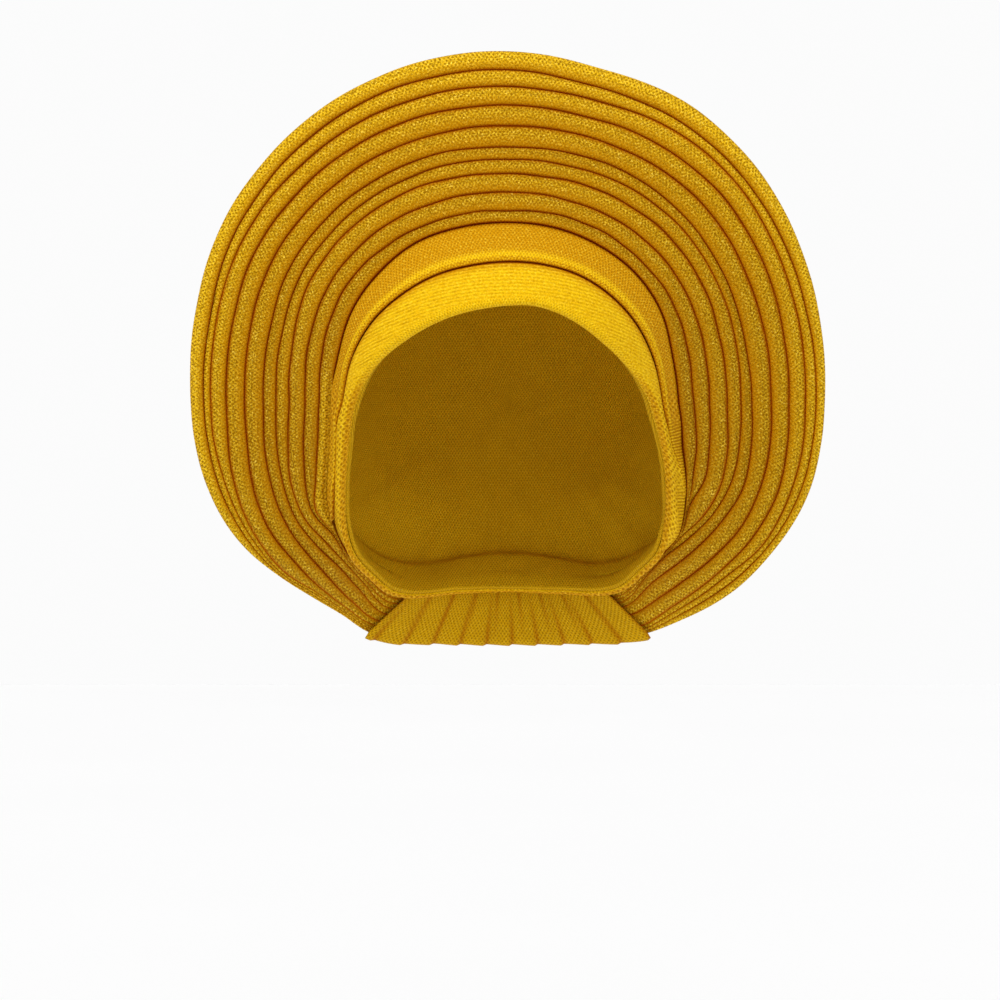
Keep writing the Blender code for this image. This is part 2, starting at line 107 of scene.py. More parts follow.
# A section for each clock angle, the same on both sides: depths of the front lines, then radius and depth of
# the lines of the cap that the fan hides from the front.
SIDE_COLUMNS = ("rim", "pleat_10", "fan_seat", "band_crease", "face_edge", "over_crown_radius", "over_crown",
                "back_of_crown_radius", "back_of_crown", "occiput_radius", "occiput")
SIDE_SECTIONS = {
    0: (-15.0, -57.0, -57.0, -80.0, -89.0, 93.0, 0.0, 79.0, 52.0, 47.0, 85.0),
    30: (-14.0, -54.0, -54.0, -76.0, -86.0, 88.0, 0.0, 75.0, 52.0, 44.0, 85.0),
    60: (-8.0, -45.0, -45.0, -63.0, -75.0, 81.0, 0.0, 69.0, 52.0, 41.0, 85.0),
    90: (6.0, -29.0, -29.0, -42.0, -50.0, 78.0, 6.0, 66.0, 54.0, 39.0, 85.0),
    105: (16.0, -15.0, -15.0, -26.0, -34.0, 82.0, 14.0, 66.0, 57.0, 39.0, 86.0),
    120: (29.0, 4.0, 4.0, -6.0, -15.0, 88.0, 27.0, 66.0, 62.0, 38.0, 87.0),
    135: (45.0, 26.0, 26.0, 19.0, 11.0, 90.0, 45.0, 62.0, 70.0, 35.0, 89.0),
    150: (62.0, 53.0, 50.0, 46.0, 41.0, 82.0, 64.0, 56.0, 79.0, 31.0, 91.0),
    165: (74.0, 70.0, 65.0, 62.0, 58.5, 71.0, 75.5, 49.0, 85.5, 27.5, 93.3),
    180: (79.0, 77.0, 71.0, 68.5, 66.0, 66.0, 80.0, 46.0, 88.0, 26.0, 94.0),
}
BACK_POLE_DEPTH = 97.0
# The cap's rings of points close to its pole.
POLE_RADII = (0.6, 0.1, 0.01)
# The lines of a section are numbered from the face edge, which is 0, to the pole.
CREASE = 1.0
SEAT = 2.0
POLE = 6.0
# Half the stretch of a curve over which its direction is measured.
NUDGE = 0.2

# A pleat from its outer crease to its inner fold and back under it. Across is a share of the visible width,
# from 0 at the inner fold; height is a share of the pleat's; crease and the shade column are how far its
# colour turns to painted shade: in the creases, and near the inner fold where the cloth turns away.
PLEAT_COLUMNS = ("across", "height", "crease", "painted_shade")
PLEAT_PROFILE = (
    (1.000, 0.08, 1.00, 0.40),
    (0.965, 0.18, 0.85, 0.35),
    (0.920, 0.31, 0.50, 0.25),
    (0.860, 0.47, 0.18, 0.12),
    (0.780, 0.64, 0.03, 0.02),
    (0.680, 0.80, 0.00, 0.02),
    (0.570, 0.92, 0.00, 0.12),
    (0.460, 0.99, 0.00, 0.32),
    (0.360, 1.00, 0.00, 0.52),
    (0.270, 0.97, 0.00, 0.70),
    (0.190, 0.91, 0.00, 0.84),
    (0.120, 0.82, 0.03, 0.95),
    (0.065, 0.70, 0.15, 1.00),
    (0.025, 0.56, 0.45, 1.00),
    (0.000, 0.40, 0.90, 1.00),
    (0.020, 0.27, 1.00, 1.00),
    (0.070, 0.19, 1.00, 1.00),
)
# Painted light: how lit each pleat is painted, from the rim in, with the inner pleats in painted shade: 1 is
# the lightest.
PLEAT_PAINTED_LIGHT = (1.0, 0.80, 0.65, 0.45, 0.35, 0.20, 0.30, 0.35, 0.25, 0.15)
# The painted light of the fan's back and foot.
REVERSE_PAINTED_LIGHT = 0.5
# The reverse of a pleat, from its inner fold out: a low step and a flat stretch, with painted crease shade at
# the step.
REVERSE_COLUMNS = ("across", "depth", "crease")
REVERSE_PROFILE = (
    (0.00, 3.2, 0.1),
    (0.07, 2.4, 0.45),
    (0.20, 2.5, 0.2),
    (0.60, 2.9, 0.0),
)
# The rim, from the fan's back out to its edge: how far inside the edge, and a height.
RIM_EDGE_COLUMNS = ("inside", "height")
RIM_EDGE = ((2.2, -2.9), (1.1, -2.3), (0.45, -1.5), (0.1, -0.6))
# How far the fan's foot goes from the line of the roots to the fan's back where the strap holds it.
FOOT_STEPS = (0.25, 0.5, 0.75, 1.0)
# How dark the painted crease shade is at the foot's four points.
FOOT_CREASES = (1.0, 0.6, 0.3, 0.3)
# How much painted shade the cloth has in a tuck, behind and at the rim.
TUCK_PAINTED_SHADE = 0.5
REVERSE_PAINTED_SHADE = 0.4
RIM_PAINTED_SHADE = 0.2

# A band's outer face from its front edge to its back edge: a share of its width, and a height.
BAND_COLUMNS = ("across", "height")
LOWER_BAND_FACE = (
    (0.000, -2.6), (0.004, -1.7), (0.018, -0.9), (0.045, -0.35), (0.090, 0.0), (0.150, 0.25), (0.230, 0.42),
    (0.350, 0.50), (0.480, 0.45), (0.600, 0.33), (0.720, 0.20), (0.810, 0.05), (0.880, -0.15), (0.935, -0.4),
    (0.975, -0.85), (1.005, -1.4), (1.050, -1.8),
)
UPPER_BAND_FACE = (
    (0.150, -1.3), (0.080, -1.2), (0.035, -1.0), (0.018, -0.6), (0.014, 0.0), (0.024, 0.50), (0.048, 0.90),
    (0.080, 1.15), (0.120, 1.20), (0.160, 1.05), (0.210, 0.70), (0.270, 0.35), (0.350, 0.10), (0.450, -0.05),
    (0.600, -0.15), (0.800, -0.30), (1.000, -0.40),
)
# The bands' inner faces, back from the back edge, as shares of the width.
LOWER_BAND_INSIDE = (1.05, 0.8, 0.55, 0.3, 0.1, 0.02)
UPPER_BAND_INSIDE = (1.0, 0.8, 0.6, 0.4, 0.22)
# How far in the lower band's rounded front edge turns.
EDGE_TURN = 2.6

# Across the lower band, as shares of its width: where each mark begins and where it is full.
# BACK_CREASE and BACK_SHADE are painted shade along the back edge, under the upper band; FACE_SHADE is
# painted shade at the rolled edge beside the face; SHADE is how dark they are.
BACK_CREASE = (0.95, 1.0)
BACK_SHADE = (0.74, 0.94)
BACK_EDGE = (0.7, 0.9)
FACE_SHADE = (0.15, 0.02)
FACE_NET = (0.22, 0.06)
TWISTED_PART = (0.3, 0.55)
SHADE = 0.8
# How much of the dip at its back edge is filled where the two bands are one roll.
MERGED_FILL = 0.75

# The upper band: which of its first points lie under the lip, where the lip is and how wide, where the seat's
# painted crease shade begins and is full, and the part that rises over the left ear, as shares of its width.
UNDER_LIP = 4
LIP_MIDDLE = 0.115
LIP_WIDTH = 0.085
LIP_END = 0.3
SEAT_CREASE = (0.85, 0.95)
EAR_PART = (0.45, 0.80)
EAR_RISE = 0.55
# How dark the painted crease shade is at the seat and under the lip, how much painted shade the band has off
# its lip, and how much less where the two bands are one roll.
SEAT_CREASE_DEPTH = 0.85
LIP_CREASE_DEPTH = 0.45
UPPER_BAND_PAINTED_SHADE = 0.85
MERGED_LESS_SHADE = 0.4
# The scallops' row lies so far up the lip's face. Anything not on the lip is far from it.
SCALLOP_ROW = 0.9
OFF_THE_LIP = 9.0
OFF_MERGED_LIP = 4

# The cap's points along a section, in lines: from, to and how many.
CAP_RUNS = ((0.12, 2.0, 14), (2.1, 5.94, 40))
# How many waves of each kind of soft fold run round the cap, and how high each kind is.
CAP_SEED = 40
CAP_WAVES = ((5, 9, 14), (7, 12, 19), (23, 31, 38))
WIDE_FOLDS = 0.6
NARROW_FOLDS = 0.4
# Where folds begin and are full, in lines: narrow ones, gathers, all behind the foot and all near the pole.
NARROW_FADE = (3.6, 2.6)
GATHERS_FADE = (4.9, 3.0)
FOLDS_BEGIN = 0.6
POLE_FADE = (5.4, 3.2)

# Walls, gaps between layers, how far cloth is tucked in, and how far the fan curls back.
CAP_WALL = 2.0
LAYER_GAP = 0.3
FACET_ROOM = 0.25
TWIST_ROOM = 0.7
CAP_UNDER_BANDS = -4.3
BAND_TUCK = 3.0
FAN_FOOT = 8.0
FAN_BACK = 3.0
FAN_CURL = 0.25
FULL_PLEAT_WIDTH = 6.5
PLEAT_TUCK = 2.4
# How much of a pleat's width a tuck takes at most: under the pleat, and under the next one out.
TUCK_SHARE = 0.45
OUTER_TUCK_SHARE = 0.4
# The height of the cloth in those tucks, as a share of the pleat's.
TUCK_HEIGHT = 0.14
OUTER_TUCK_HEIGHT = 0.03
# Pleats differ in height by this share, their folds stray in these waves, and the rim strays less.
SWELL = 0.10
SWELL_SEED = 100
SWELL_WAVES = (7, 11, 19)
FOLD_WAVES = (5, 9, 17, 29)
RIM_WANDER = 0.5
# A fold strays no further than this part of the space beside it.
WANDER_PART = 6
# Across a pleat: where the rim pleat's painted crease shade and painted shade end, the middle of its round
# edge, and where its inner fold softens.
RIM_CREASE_END = 0.5
RIM_MIDDLE = 0.4
SOFT_PART = (0.55, 0.05)
SOFTENING = 0.9
# How much paler the innermost pleat's painted crease shade is over the left ear, how much painted light its
# cloth gains there, and on how many of its last points its painted crease shade and its painted shade are
# paler.
SOFT_CREASE = 0.85
EAR_PAINTED_LIGHT = 0.6
SOFT_CREASE_REACH = 5
SOFT_SHADE_REACH = 11

# The strap: how flat it holds the pleats, its wall, its room and its corners.
BOUND_SQUEEZE = 0.55
BINDING_WALL = 1.5
BOUND_HEIGHT = 1.5
OUTER_CORNER = 2.8
INNER_CORNER = 1.2
CORNER_POINTS = 6
# The strap's corners in order: 1 at the roots or 0 at the rim, 1 or -1 for outwards or inwards and for back
# or front, and where each begins, in half turns.
CORNERS = ((0, 1, -1, 0.0), (1, -1, -1, 0.5), (1, -1, 1, 1.0), (0, 1, 1, 1.5))
# Turns of the strap: how far apart in degrees, and how far one stands up over the next.
WINDING_STEP = 6.0
WINDING_HEIGHT = 0.9
WINDING_RISE = 0.14
# Painted shade in the crease beside each turn: its width, as a share of a turn, and how dark it is.
WINDING_CREASE = 0.09
WINDING_CREASE_DEPTH = 0.6
# How much later, in degrees, a turn and the strap's ends lie at the pleats' roots than at the rim.
WINDING_SLANT = 2.0
END_SLANT = 4.0
# The mean radius of the strap's weave, in metres.
BINDING_RADIUS = 0.1

# The floor's width in metres, the size of its soft grain and the grain's shade.
FLOOR_SIZE = 12.0
FLOOR_GRAIN = 0.8
FLOOR_SHADE = 0.98
# Where each light comes from, and how many degrees of the sky it fills.
KEY_FROM = (-0.25, -0.75, 1.0)
KEY_WIDTH = 30.0
FILL_FROM = (0.35, -1.0, 0.15)
FILL_WIDTH = 60.0
SENSOR_WIDTH = 36.0

# How much of a slope's depth counts in the size of its weave.
SLOPE_SHARE = 0.45
# How strongly the lines of the cloth over the brow arch, for each metre.
DRAPE_ARCH = 4.0

# Steps between a piece's sections, in degrees.
RING_STEP = 1.0
BAND_STEP = 0.75
BINDING_STEP = 0.4
# Clock angles of the upper band's ends, and on each side of where the pleats gather and the strap begins.
UPPER_BAND_ENDS = (-124.5, 118.5)
GATHER_CLOCK = 132
BINDING_CLOCK = 149
# Changes round the ring, from the clock angle where each begins to the one where it is full. The lip between
# the bands runs back to the fan's seat, and the two bands run together and part again.
LEFT_LIP_CLOCKS = (118.0, 130.0)
RIGHT_LIP_CLOCKS = (104.0, 119.5)
LEFT_MERGE = (94.0, 102.0)
LEFT_PARTING = (113.0, 118.0)
LEFT_MERGE_SHARE = 0.75
RIGHT_MERGE = (95.0, 103.0)
RIGHT_PARTING = (135.0, 150.0)
# The cloth on the cap twists, and the bands end in slanting stitches.
TWIST_CLOCKS = (92.0, 118.0)
LEFT_STITCHES = (120.0, 125.0)
RIGHT_STITCHES = (112.0, 120.0)
UPPER_STITCHES = (93.0, 101.0)
# The knit, the shade and the net of the rolls beside the face; the hem at the nape; the innermost pleat.
KNIT_CLOCKS = (78.0, 92.0)
BESIDE_FACE = (72.0, 92.0)
HEM_CLOCKS = (125.0, 140.0)
SOFT_ROOT_BEGINS = (78.0, 88.0)
SOFT_ROOT_ENDS = (122.0, 130.0)
# The cap's gathers above the nape, and the fan's foot, which leaves the cap later than the pleats gather.
NAPE_GATHERS = (95.0, 155.0)
FOOT_CLOCKS = (144.0, 154.0)


def smooth_step(x):
    """A ramp from 0 to 1 with level ends."""
    x = np.clip(x, 0.0, 1.0)
    return x * x * (3 - 2 * x)


def ramp(x, ends):
    """0 up to the first of two ends and 1 past the second, rising smoothly between; the ends may fall."""
    return smooth_step((x - ends[0]) / (ends[1] - ends[0]))


def columns(names, rows):
    """A table's columns, by their names."""
    return dict(zip(names, np.array(rows, float).T))


def smooth_through(places, values, at):
    """Smooth curves, one a row, through values at rising places, read at the places of the same row."""
    rows = np.arange(len(places))[:, None]
    last = places.shape[1] - 3
    segment = np.clip((at[:, :, None] >= places[:, None, 1:-1]).sum(axis=2), 1, last)
    before, here, there, after = [places[rows, segment + step][..., None] for step in (-1, 0, 1, 2)]
    a, b, c, d = [values[rows, segment + step] for step in (-1, 0, 1, 2)]
    span = there - here
    share = (at[..., None] - here) / span
    bend_in = (c - a) / (there - before) * span * share * (1 - share) ** 2
    bend_out = (d - b) / (after - here) * span * share * share * (1 - share)
    return b + (c - b) * share * share * (3 - 2 * share) + bend_in - bend_out


def around(sections, clocks):
    """A table of sections, read smoothly at any clock angles: a row for each angle."""
    places = sorted(sections)
    values = np.array([sections[clock] for clock in places], float)
    places = np.array(places, float)
    places = np.concatenate([places[-2:] - FULL_TURN, places, places[:2] + FULL_TURN])
    values = np.concatenate([values[-2:], values, values[:2]])
    return smooth_through(places[None], values[None], np.asarray(clocks, float)[None])[0]


def both_sides(sections):
    """A table of one side's sections, with the other side's added."""
    whole = dict(sections)
    whole.update({-clock: row for clock, row in sections.items() if 0 < clock < FULL_TURN // 2})
    return whole


def pairs(radii, depths):
    """Points of sections from their radii and depths."""
    radii, depths = np.broadcast_arrays(radii, depths)
    return np.stack([radii, depths], axis=-1)


class Stations:
    """The sections at a row of clock angles."""

    def __init__(self, clocks):
        self.clocks = np.asarray(clocks, float)
        front = around(FRONT_SECTIONS, self.clocks)
        side = around(both_sides(SIDE_SECTIONS), self.clocks)
        self.column = self.clocks[:, None]
        self.from_top = np.abs(self.column)
        self.front = columns(FRONT_COLUMNS, front)
        self.side = columns(SIDE_COLUMNS, side)
        self.fold_radii = front[:, FOLDS]
        run = [sizes["band_crease"] - sizes["face_edge"] for sizes in (self.front, self.side)]
        self.front["face_edge"] += EDGE_TURN * run[1] / np.hypot(*run)
        lines = ("face_edge", "band_crease", "fan_seat")
        points = [pairs(self.front[line], self.side[line]) for line in lines]
        for line in ("over_crown", "back_of_crown", "occiput"):
            points.append(pairs(self.side[line + "_radius"], self.side[line]))
        pole = pairs(np.zeros(len(self.clocks)), BACK_POLE_DEPTH)
        points = [2 * points[0] - points[1]] + points + [pole, points[-1] * (-1, 1)]
        self.points = np.stack(points, axis=1)
        steps = np.linalg.norm(np.diff(self.points, axis=1), axis=2)
        self.places = np.concatenate([np.zeros((len(steps), 1)), np.cumsum(steps, axis=1)], axis=1)
        self.rows = np.arange(len(self.clocks))[:, None]

    def place_of(self, t):
        """The distance along each section's curve that lies t lines behind the face edge."""
        whole = np.clip(np.floor(t).astype(int), 0, int(POLE) - 1)
        here = self.places[self.rows, whole + 1]
        return here + (t - whole) * (self.places[self.rows, whole + 2] - here)

    def cover(self, t, offset=0.0):
        """Points of the head's covering, t lines behind the face edge and offset out from its surface."""
        t, offset = np.broadcast_arrays(np.asarray(t, float), np.asarray(offset, float))
        t = np.broadcast_to(t, (len(self.clocks), t.shape[-1]))
        offset = np.broadcast_to(offset, t.shape)
        at = self.place_of(t)
        low = np.maximum(at - NUDGE, self.places[:, 1:2])
        high = np.minimum(at + NUDGE, self.places[:, -2:-1])
        along = smooth_through(self.places, self.points, high) - smooth_through(self.places, self.points, low)
        along /= np.linalg.norm(along, axis=2, keepdims=True)
        out = np.stack([along[..., 1], -along[..., 0]], axis=-1)
        return smooth_through(self.places, self.points, at) + offset[..., None] * out

    def behind_seat(self, distance):
        """The line number a distance behind the fan's seat."""
        return SEAT + distance / (self.places[:, 4:5] - self.places[:, 3:4])

    def lip_line(self):
        """The line number of the lip between the bands."""
        left, right = ramp(self.from_top, LEFT_LIP_CLOCKS), ramp(self.from_top, RIGHT_LIP_CLOCKS)
        return CREASE + np.where(self.column < 0, left, right)

    def under_layer(self):
        """How far out the inner face of a layer on the cap lies, with more room where the cloth twists."""
        return CAP_UNDER_BANDS + LAYER_GAP + FACET_ROOM + TWIST_ROOM * self.twisted()

    def twisted(self):
        """0 over the brow and 1 where the cloth on the cap twists."""
        return ramp(self.from_top, TWIST_CLOCKS)

    def merged(self):
        """0 where a lip parts the two bands and 1 where they run on as one roll."""
        right = ramp(self.column, RIGHT_MERGE) * (1 - ramp(self.column, RIGHT_PARTING))
        left = ramp(-self.column, LEFT_MERGE) * (1 - ramp(-self.column, LEFT_PARTING))
        return np.maximum(right, left * LEFT_MERGE_SHARE)

    def knitted(self):
        """0 over the brow and 1 on the rolls beside the face, where the cloth is a coarse knit."""
        return ramp(self.from_top, KNIT_CLOCKS)

    def soft_root(self):
        """1 over the left ear, where the innermost pleat melts into the band, and 0 elsewhere."""
        return ramp(-self.column, SOFT_ROOT_BEGINS) * (1 - ramp(-self.column, SOFT_ROOT_ENDS))

    def distance_round(self, radii):
        """The distance along a line round the ring, with a step more at its end, in a column."""
        angle = np.radians(self.clocks)
        line = np.stack([radii * np.sin(angle), radii * np.cos(angle)], axis=1)
        steps = np.linalg.norm(np.diff(line, axis=0), axis=1)
        return np.cumsum(np.concatenate([[0.0], steps, steps[-1:]]))[:, None]

    def gathered(self):
        """0 where the pleats stand free and 1 where the binding holds them flat."""
        return ramp(self.from_top, (GATHER_CLOCK, BINDING_CLOCK))

    def folds(self, wander=0.0):
        """Radius and depth of the rim and of each pleat's inner fold; the fan leans most at its foot."""
        radii = self.fold_radii + wander
        rim, root = radii[:, :1], radii[:, -1:]
        share = (radii - root) / (rim - root)
        lean = share * (1 + FAN_CURL * (1 - self.gathered()) * (1 - share))
        rim_depth, root_depth = self.side["rim"][:, None], self.side["pleat_10"][:, None]
        return pairs(radii, root_depth + lean * (rim_depth - root_depth))

    def placed(self, seen):
        """Points as seen from the front, put at their true places in metres."""
        angle = np.radians(self.clocks)[:, None]
        radius, depth = seen[..., 0], seen[..., 1]
        nearness = 1 + depth / EYE_DISTANCE
        x = EYE_X + nearness * (radius * np.sin(angle) - EYE_X)
        z = EYE_Z + nearness * (radius * np.cos(angle) - EYE_Z)
        return np.stack([x, depth, z], axis=-1) * MM


def clocks_between(first, last, step):
    """Clock angles from a first to a last."""
    return np.arange(first, last + step / 2, step)


def ring_clocks(step):
    """Clock angles all the way round."""
    return clocks_between(-FULL_TURN / 2 + step, FULL_TURN / 2, step)


def ripple(clocks, waves, seed):
    """A smooth wandering along the ring that closes on itself, about 1 at its largest."""
    random = np.random.default_rng(seed)
    angle = np.radians(clocks)
    total = np.zeros(len(clocks))
    for wave in waves:
        total += np.sin(wave * angle + random.uniform(0, 2 * math.pi)) * random.uniform(0.5, 1.0)
    return total / (0.6 * len(waves))


def lengths_along(points, closed):
    """The distance along each row of points, from its first point; a closed row gets its start again."""
    if closed:
        points = np.concatenate([points, points[:, :1]], axis=1)
    steps = np.linalg.norm(np.diff(points, axis=1), axis=2)
    return np.concatenate([np.zeros((len(steps), 1)), np.cumsum(steps, axis=1)], axis=1)


def woven(name, points, maps, marks, ring, caps=()):
    """A closed mesh through a grid of points, sections by points of a section.

    maps holds UV grids with one more row and column than the points, and marks a number for each point.
    """
    count, width = points.shape[:2]
    corners = points.reshape(-1, 3)
    i = np.arange(count if ring else count - 1)[:, None]
    j = np.arange(width)[None, :]
    i_next, j_next = (i + 1) % count, (j + 1) % width
    faces = np.stack([i * width + j, i * width + j_next,
                      i_next * width + j_next, i_next * width + j], axis=-1)
    uv_faces = np.stack([i * (width + 1) + j, i * (width + 1) + j + 1,
                         (i + 1) * (width + 1) + j + 1, (i + 1) * (width + 1) + j], axis=-1)
    faces, uv_faces = faces.reshape(-1, 4), uv_faces.reshape(-1, 4)
    a, b, c, d = [corners[faces[:, k]] for k in range(4)]
    volume = (a * (np.cross(b, c) + np.cross(c, d))).sum()
    if volume < 0:
        faces, uv_faces = faces[:, ::-1], uv_faces[:, ::-1]
    polygons = faces.tolist()
    uv_rows = uv_faces.tolist()
    for section in caps:
        loop = [section * width + k for k in range(width)]
        uv_loop = [section * (width + 1) + k for k in range(width)]
        outward = (section == 0) != (volume < 0)
        polygons.append(loop[::-1] if outward else loop)
        uv_rows.append(uv_loop[::-1] if outward else uv_loop)
    mesh = bpy.data.meshes.new(name)
    mesh.from_pydata(corners.tolist(), [], polygons)
    order = np.concatenate([np.array(row) for row in uv_rows])
    for layer, grid in maps.items():
        uv = mesh.uv_layers.new(name=layer)
        uv.data.foreach_set("uv", grid.reshape(-1, 2)[order].astype(np.float32).ravel())
    for layer, values in marks.items():
        mark = mesh.attributes.new(layer, "FLOAT", "POINT")
        mark.data.foreach_set("value", np.broadcast_to(values, (count, width)).astype(np.float32).ravel())
    mesh.shade_smooth()
    piece = bpy.data.objects.new(name, mesh)
    bpy.context.scene.collection.objects.link(piece)
    return piece


def close_grid(grid, ring):
    """A grid with a row more at its end: a ring's first row again, or the last row of an open grid."""
    return np.concatenate([grid, grid[:1] if ring else grid[-1:]])


def cloth_map(seen, distance_round, ring):
    """UVs in metres: a distance round the ring, and the distance over the section.

    A slope away from the eye counts for less, so that the weave looks even from the front.
    """
    across = lengths_along(seen * (1, SLOPE_SHARE), closed=True)
    across = close_grid(across - across.mean(axis=1, keepdims=True), ring)
    return np.stack(np.broadcast_arrays(distance_round, across), axis=-1) * MM


def drape_map(points, ring, arch):
    """UVs in metres of a cloth laid level over the brow: its lines arch over the face."""
    grid = close_grid(np.concatenate([points, points[:, :1]], axis=1), ring)
    x, y, z = grid[..., 0], grid[..., 1], grid[..., 2]
    return np.stack([x + y, z + arch * x * x], axis=-1)


def band_maps(stations, seen, points, outside, ring):
    """The UVs of a band: its cloth's, and those of the lines laid over the brow."""
    middle = seen[:, outside, 0].mean(axis=1)
    return {"cloth": cloth_map(seen, stations.distance_round(middle), ring),
            "drape": drape_map(points, ring, DRAPE_ARCH)}


class Wire:
    """A node's output, whose arithmetic adds Math nodes."""

    def __init__(self, finish, socket):
        self.finish = finish
        self.socket = socket

    def maths(self, operation, *values):
        return self.finish.node("ShaderNodeMath", {"operation": operation}, dict(enumerate(values)))

    def __add__(self, other):
        return self.maths("ADD", self, other)

    __radd__ = __add__

    def __sub__(self, other):
        return self.maths("SUBTRACT", self, other)

    def __rsub__(self, other):
        return self.maths("SUBTRACT", other, self)

    def __mul__(self, other):
        return self.maths("MULTIPLY", self, other)

    __rmul__ = __mul__

    def __truediv__(self, other):
        return self.maths("DIVIDE", self, other)

    def __abs__(self):
        return self.maths("ABSOLUTE", self)

    def sine(self):
        return self.maths("SINE", self)

    def clamped(self):
        return self.maths("MAXIMUM", self.maths("MINIMUM", self, 1.0), 0.0)

    def above(self, level, gain):
        """0 up to a level, and rising past it by so much to 1."""
        return ((self - level) * gain).clamped()

    def below(self, level, gain):
        """0 down to a level, and rising under it by so much to 1."""
        return ((level - self) * gain).clamped()


class Finish:
    """A cloth material while its nodes are joined up."""

    def __init__(self, name):
        self.material = bpy.data.materials.new(name)
        self.material.use_nodes = True
        self.tree = self.material.node_tree
        self.tree.nodes.clear()

    def node(self, kind, settings=None, sockets=None, output=0):
        """Add a node: its settings, then a value or a wire for each socket. Gives one of its outputs."""
        node = self.tree.nodes.new(kind)
        for name, value in (settings or {}).items():
            if name == "stops":
                for stop, (position, colour) in zip(node.color_ramp.elements, value):
                    stop.position, stop.color = position, colour
            else:
                setattr(node, name, value)
        for name, value in (sockets or {}).items():
            if isinstance(value, Wire):
                self.tree.links.new(value.socket, node.inputs[name])
            else:
                node.inputs[name].default_value = value
        return Wire(self, node.outputs[output])

    def mix(self, factor, colour_a, colour_b, blend="MIX"):
        """One colour turned into another."""
        settings = {"data_type": "RGBA", "blend_type": blend, "clamp_factor": True}
        return self.node("ShaderNodeMix", settings, {0: factor, 6: colour_a, 7: colour_b}, output=2)

    def mark(self, name):
        """A number that the mesh holds for each of its points."""
        return self.node("ShaderNodeAttribute", {"attribute_name": name}, output="Fac")

    def map(self, name):
        """The two numbers of a UV map, and their vector."""
        vector = self.node("ShaderNodeUVMap", {"uv_map": name})
        split = self.node("ShaderNodeSeparateXYZ", None, {0: vector}, output="X")
        return split, Wire(self, split.socket.node.outputs["Y"]), vector

    def noise(self, vector, size, detail=2.0, roughness=0.5):
        """Soft noise with features of a size in metres."""
        sockets = {"Vector": vector, "Scale": 1 / size, "Detail": detail, "Roughness": roughness}
        return self.node("ShaderNodeTexNoise", None, sockets, output="Fac")

    def surface(self, constants, **varying):
        """The cloth's shader, with what is the same all over set on its own sockets."""
        sockets = dict(constants)
        sockets.update({name.replace("_", " "): value for name, value in varying.items()})
        shader = self.node("ShaderNodeBsdfPrincipled", None, sockets)
        self.node_output(shader)
        return self.material

    def node_output(self, shader):
        """Show a shader on the surface."""
        output = self.tree.nodes.new("ShaderNodeOutputMaterial")
        self.tree.links.new(shader.socket, output.inputs["Surface"])


def rgba(colour, strength=1.0):
    """A colour with its alpha, made lighter or darker."""
    return tuple(channel * strength for channel in colour) + (1.0,)


# How sharply colours part: at a hole, at a thread of each cloth, at a soft blotch and at a glint. Only those
# glints show whose cell is above the rarity.
HOLE_EDGE = 1.6
THREAD_EDGE = 9.0
BAND_THREAD_EDGE = 8.0
CAP_THREAD_EDGE = 4.0
BLOTCH_EDGE = 2.5
GLINT_EDGE = 40.0
GLINT_RARITY = 0.955


def net_holes(u, v, pitch, row):
    """1 in a net's holes and 0 on its threads: the holes are a pitch apart, in staggered rows."""
    a = u * (math.pi / pitch)
    b = v * (math.pi / (2 * row))
    return abs((a + b).sine() * (a - b).sine())


def arcs(u, v, pitch, row, height, line):
    """1 on thin arcs, a pitch wide and so high, in rows; 0 off them."""
    bow = abs((u * (math.pi / pitch)).sine()) * height
    level = (v * (1 / row)).maths("FRACT", v * (1 / row)) * row
    return (1 - abs(level - bow - (row - height) * 0.5) / line).clamped()


def threads(finish, holes, fibre, relief):
    """The small relief of a weave."""
    height = (1 - holes) + fibre * 0.6
    return finish.node("ShaderNodeBump", None, {"Strength": 0.6, "Distance": relief, "Height": height},
                       output="Normal")


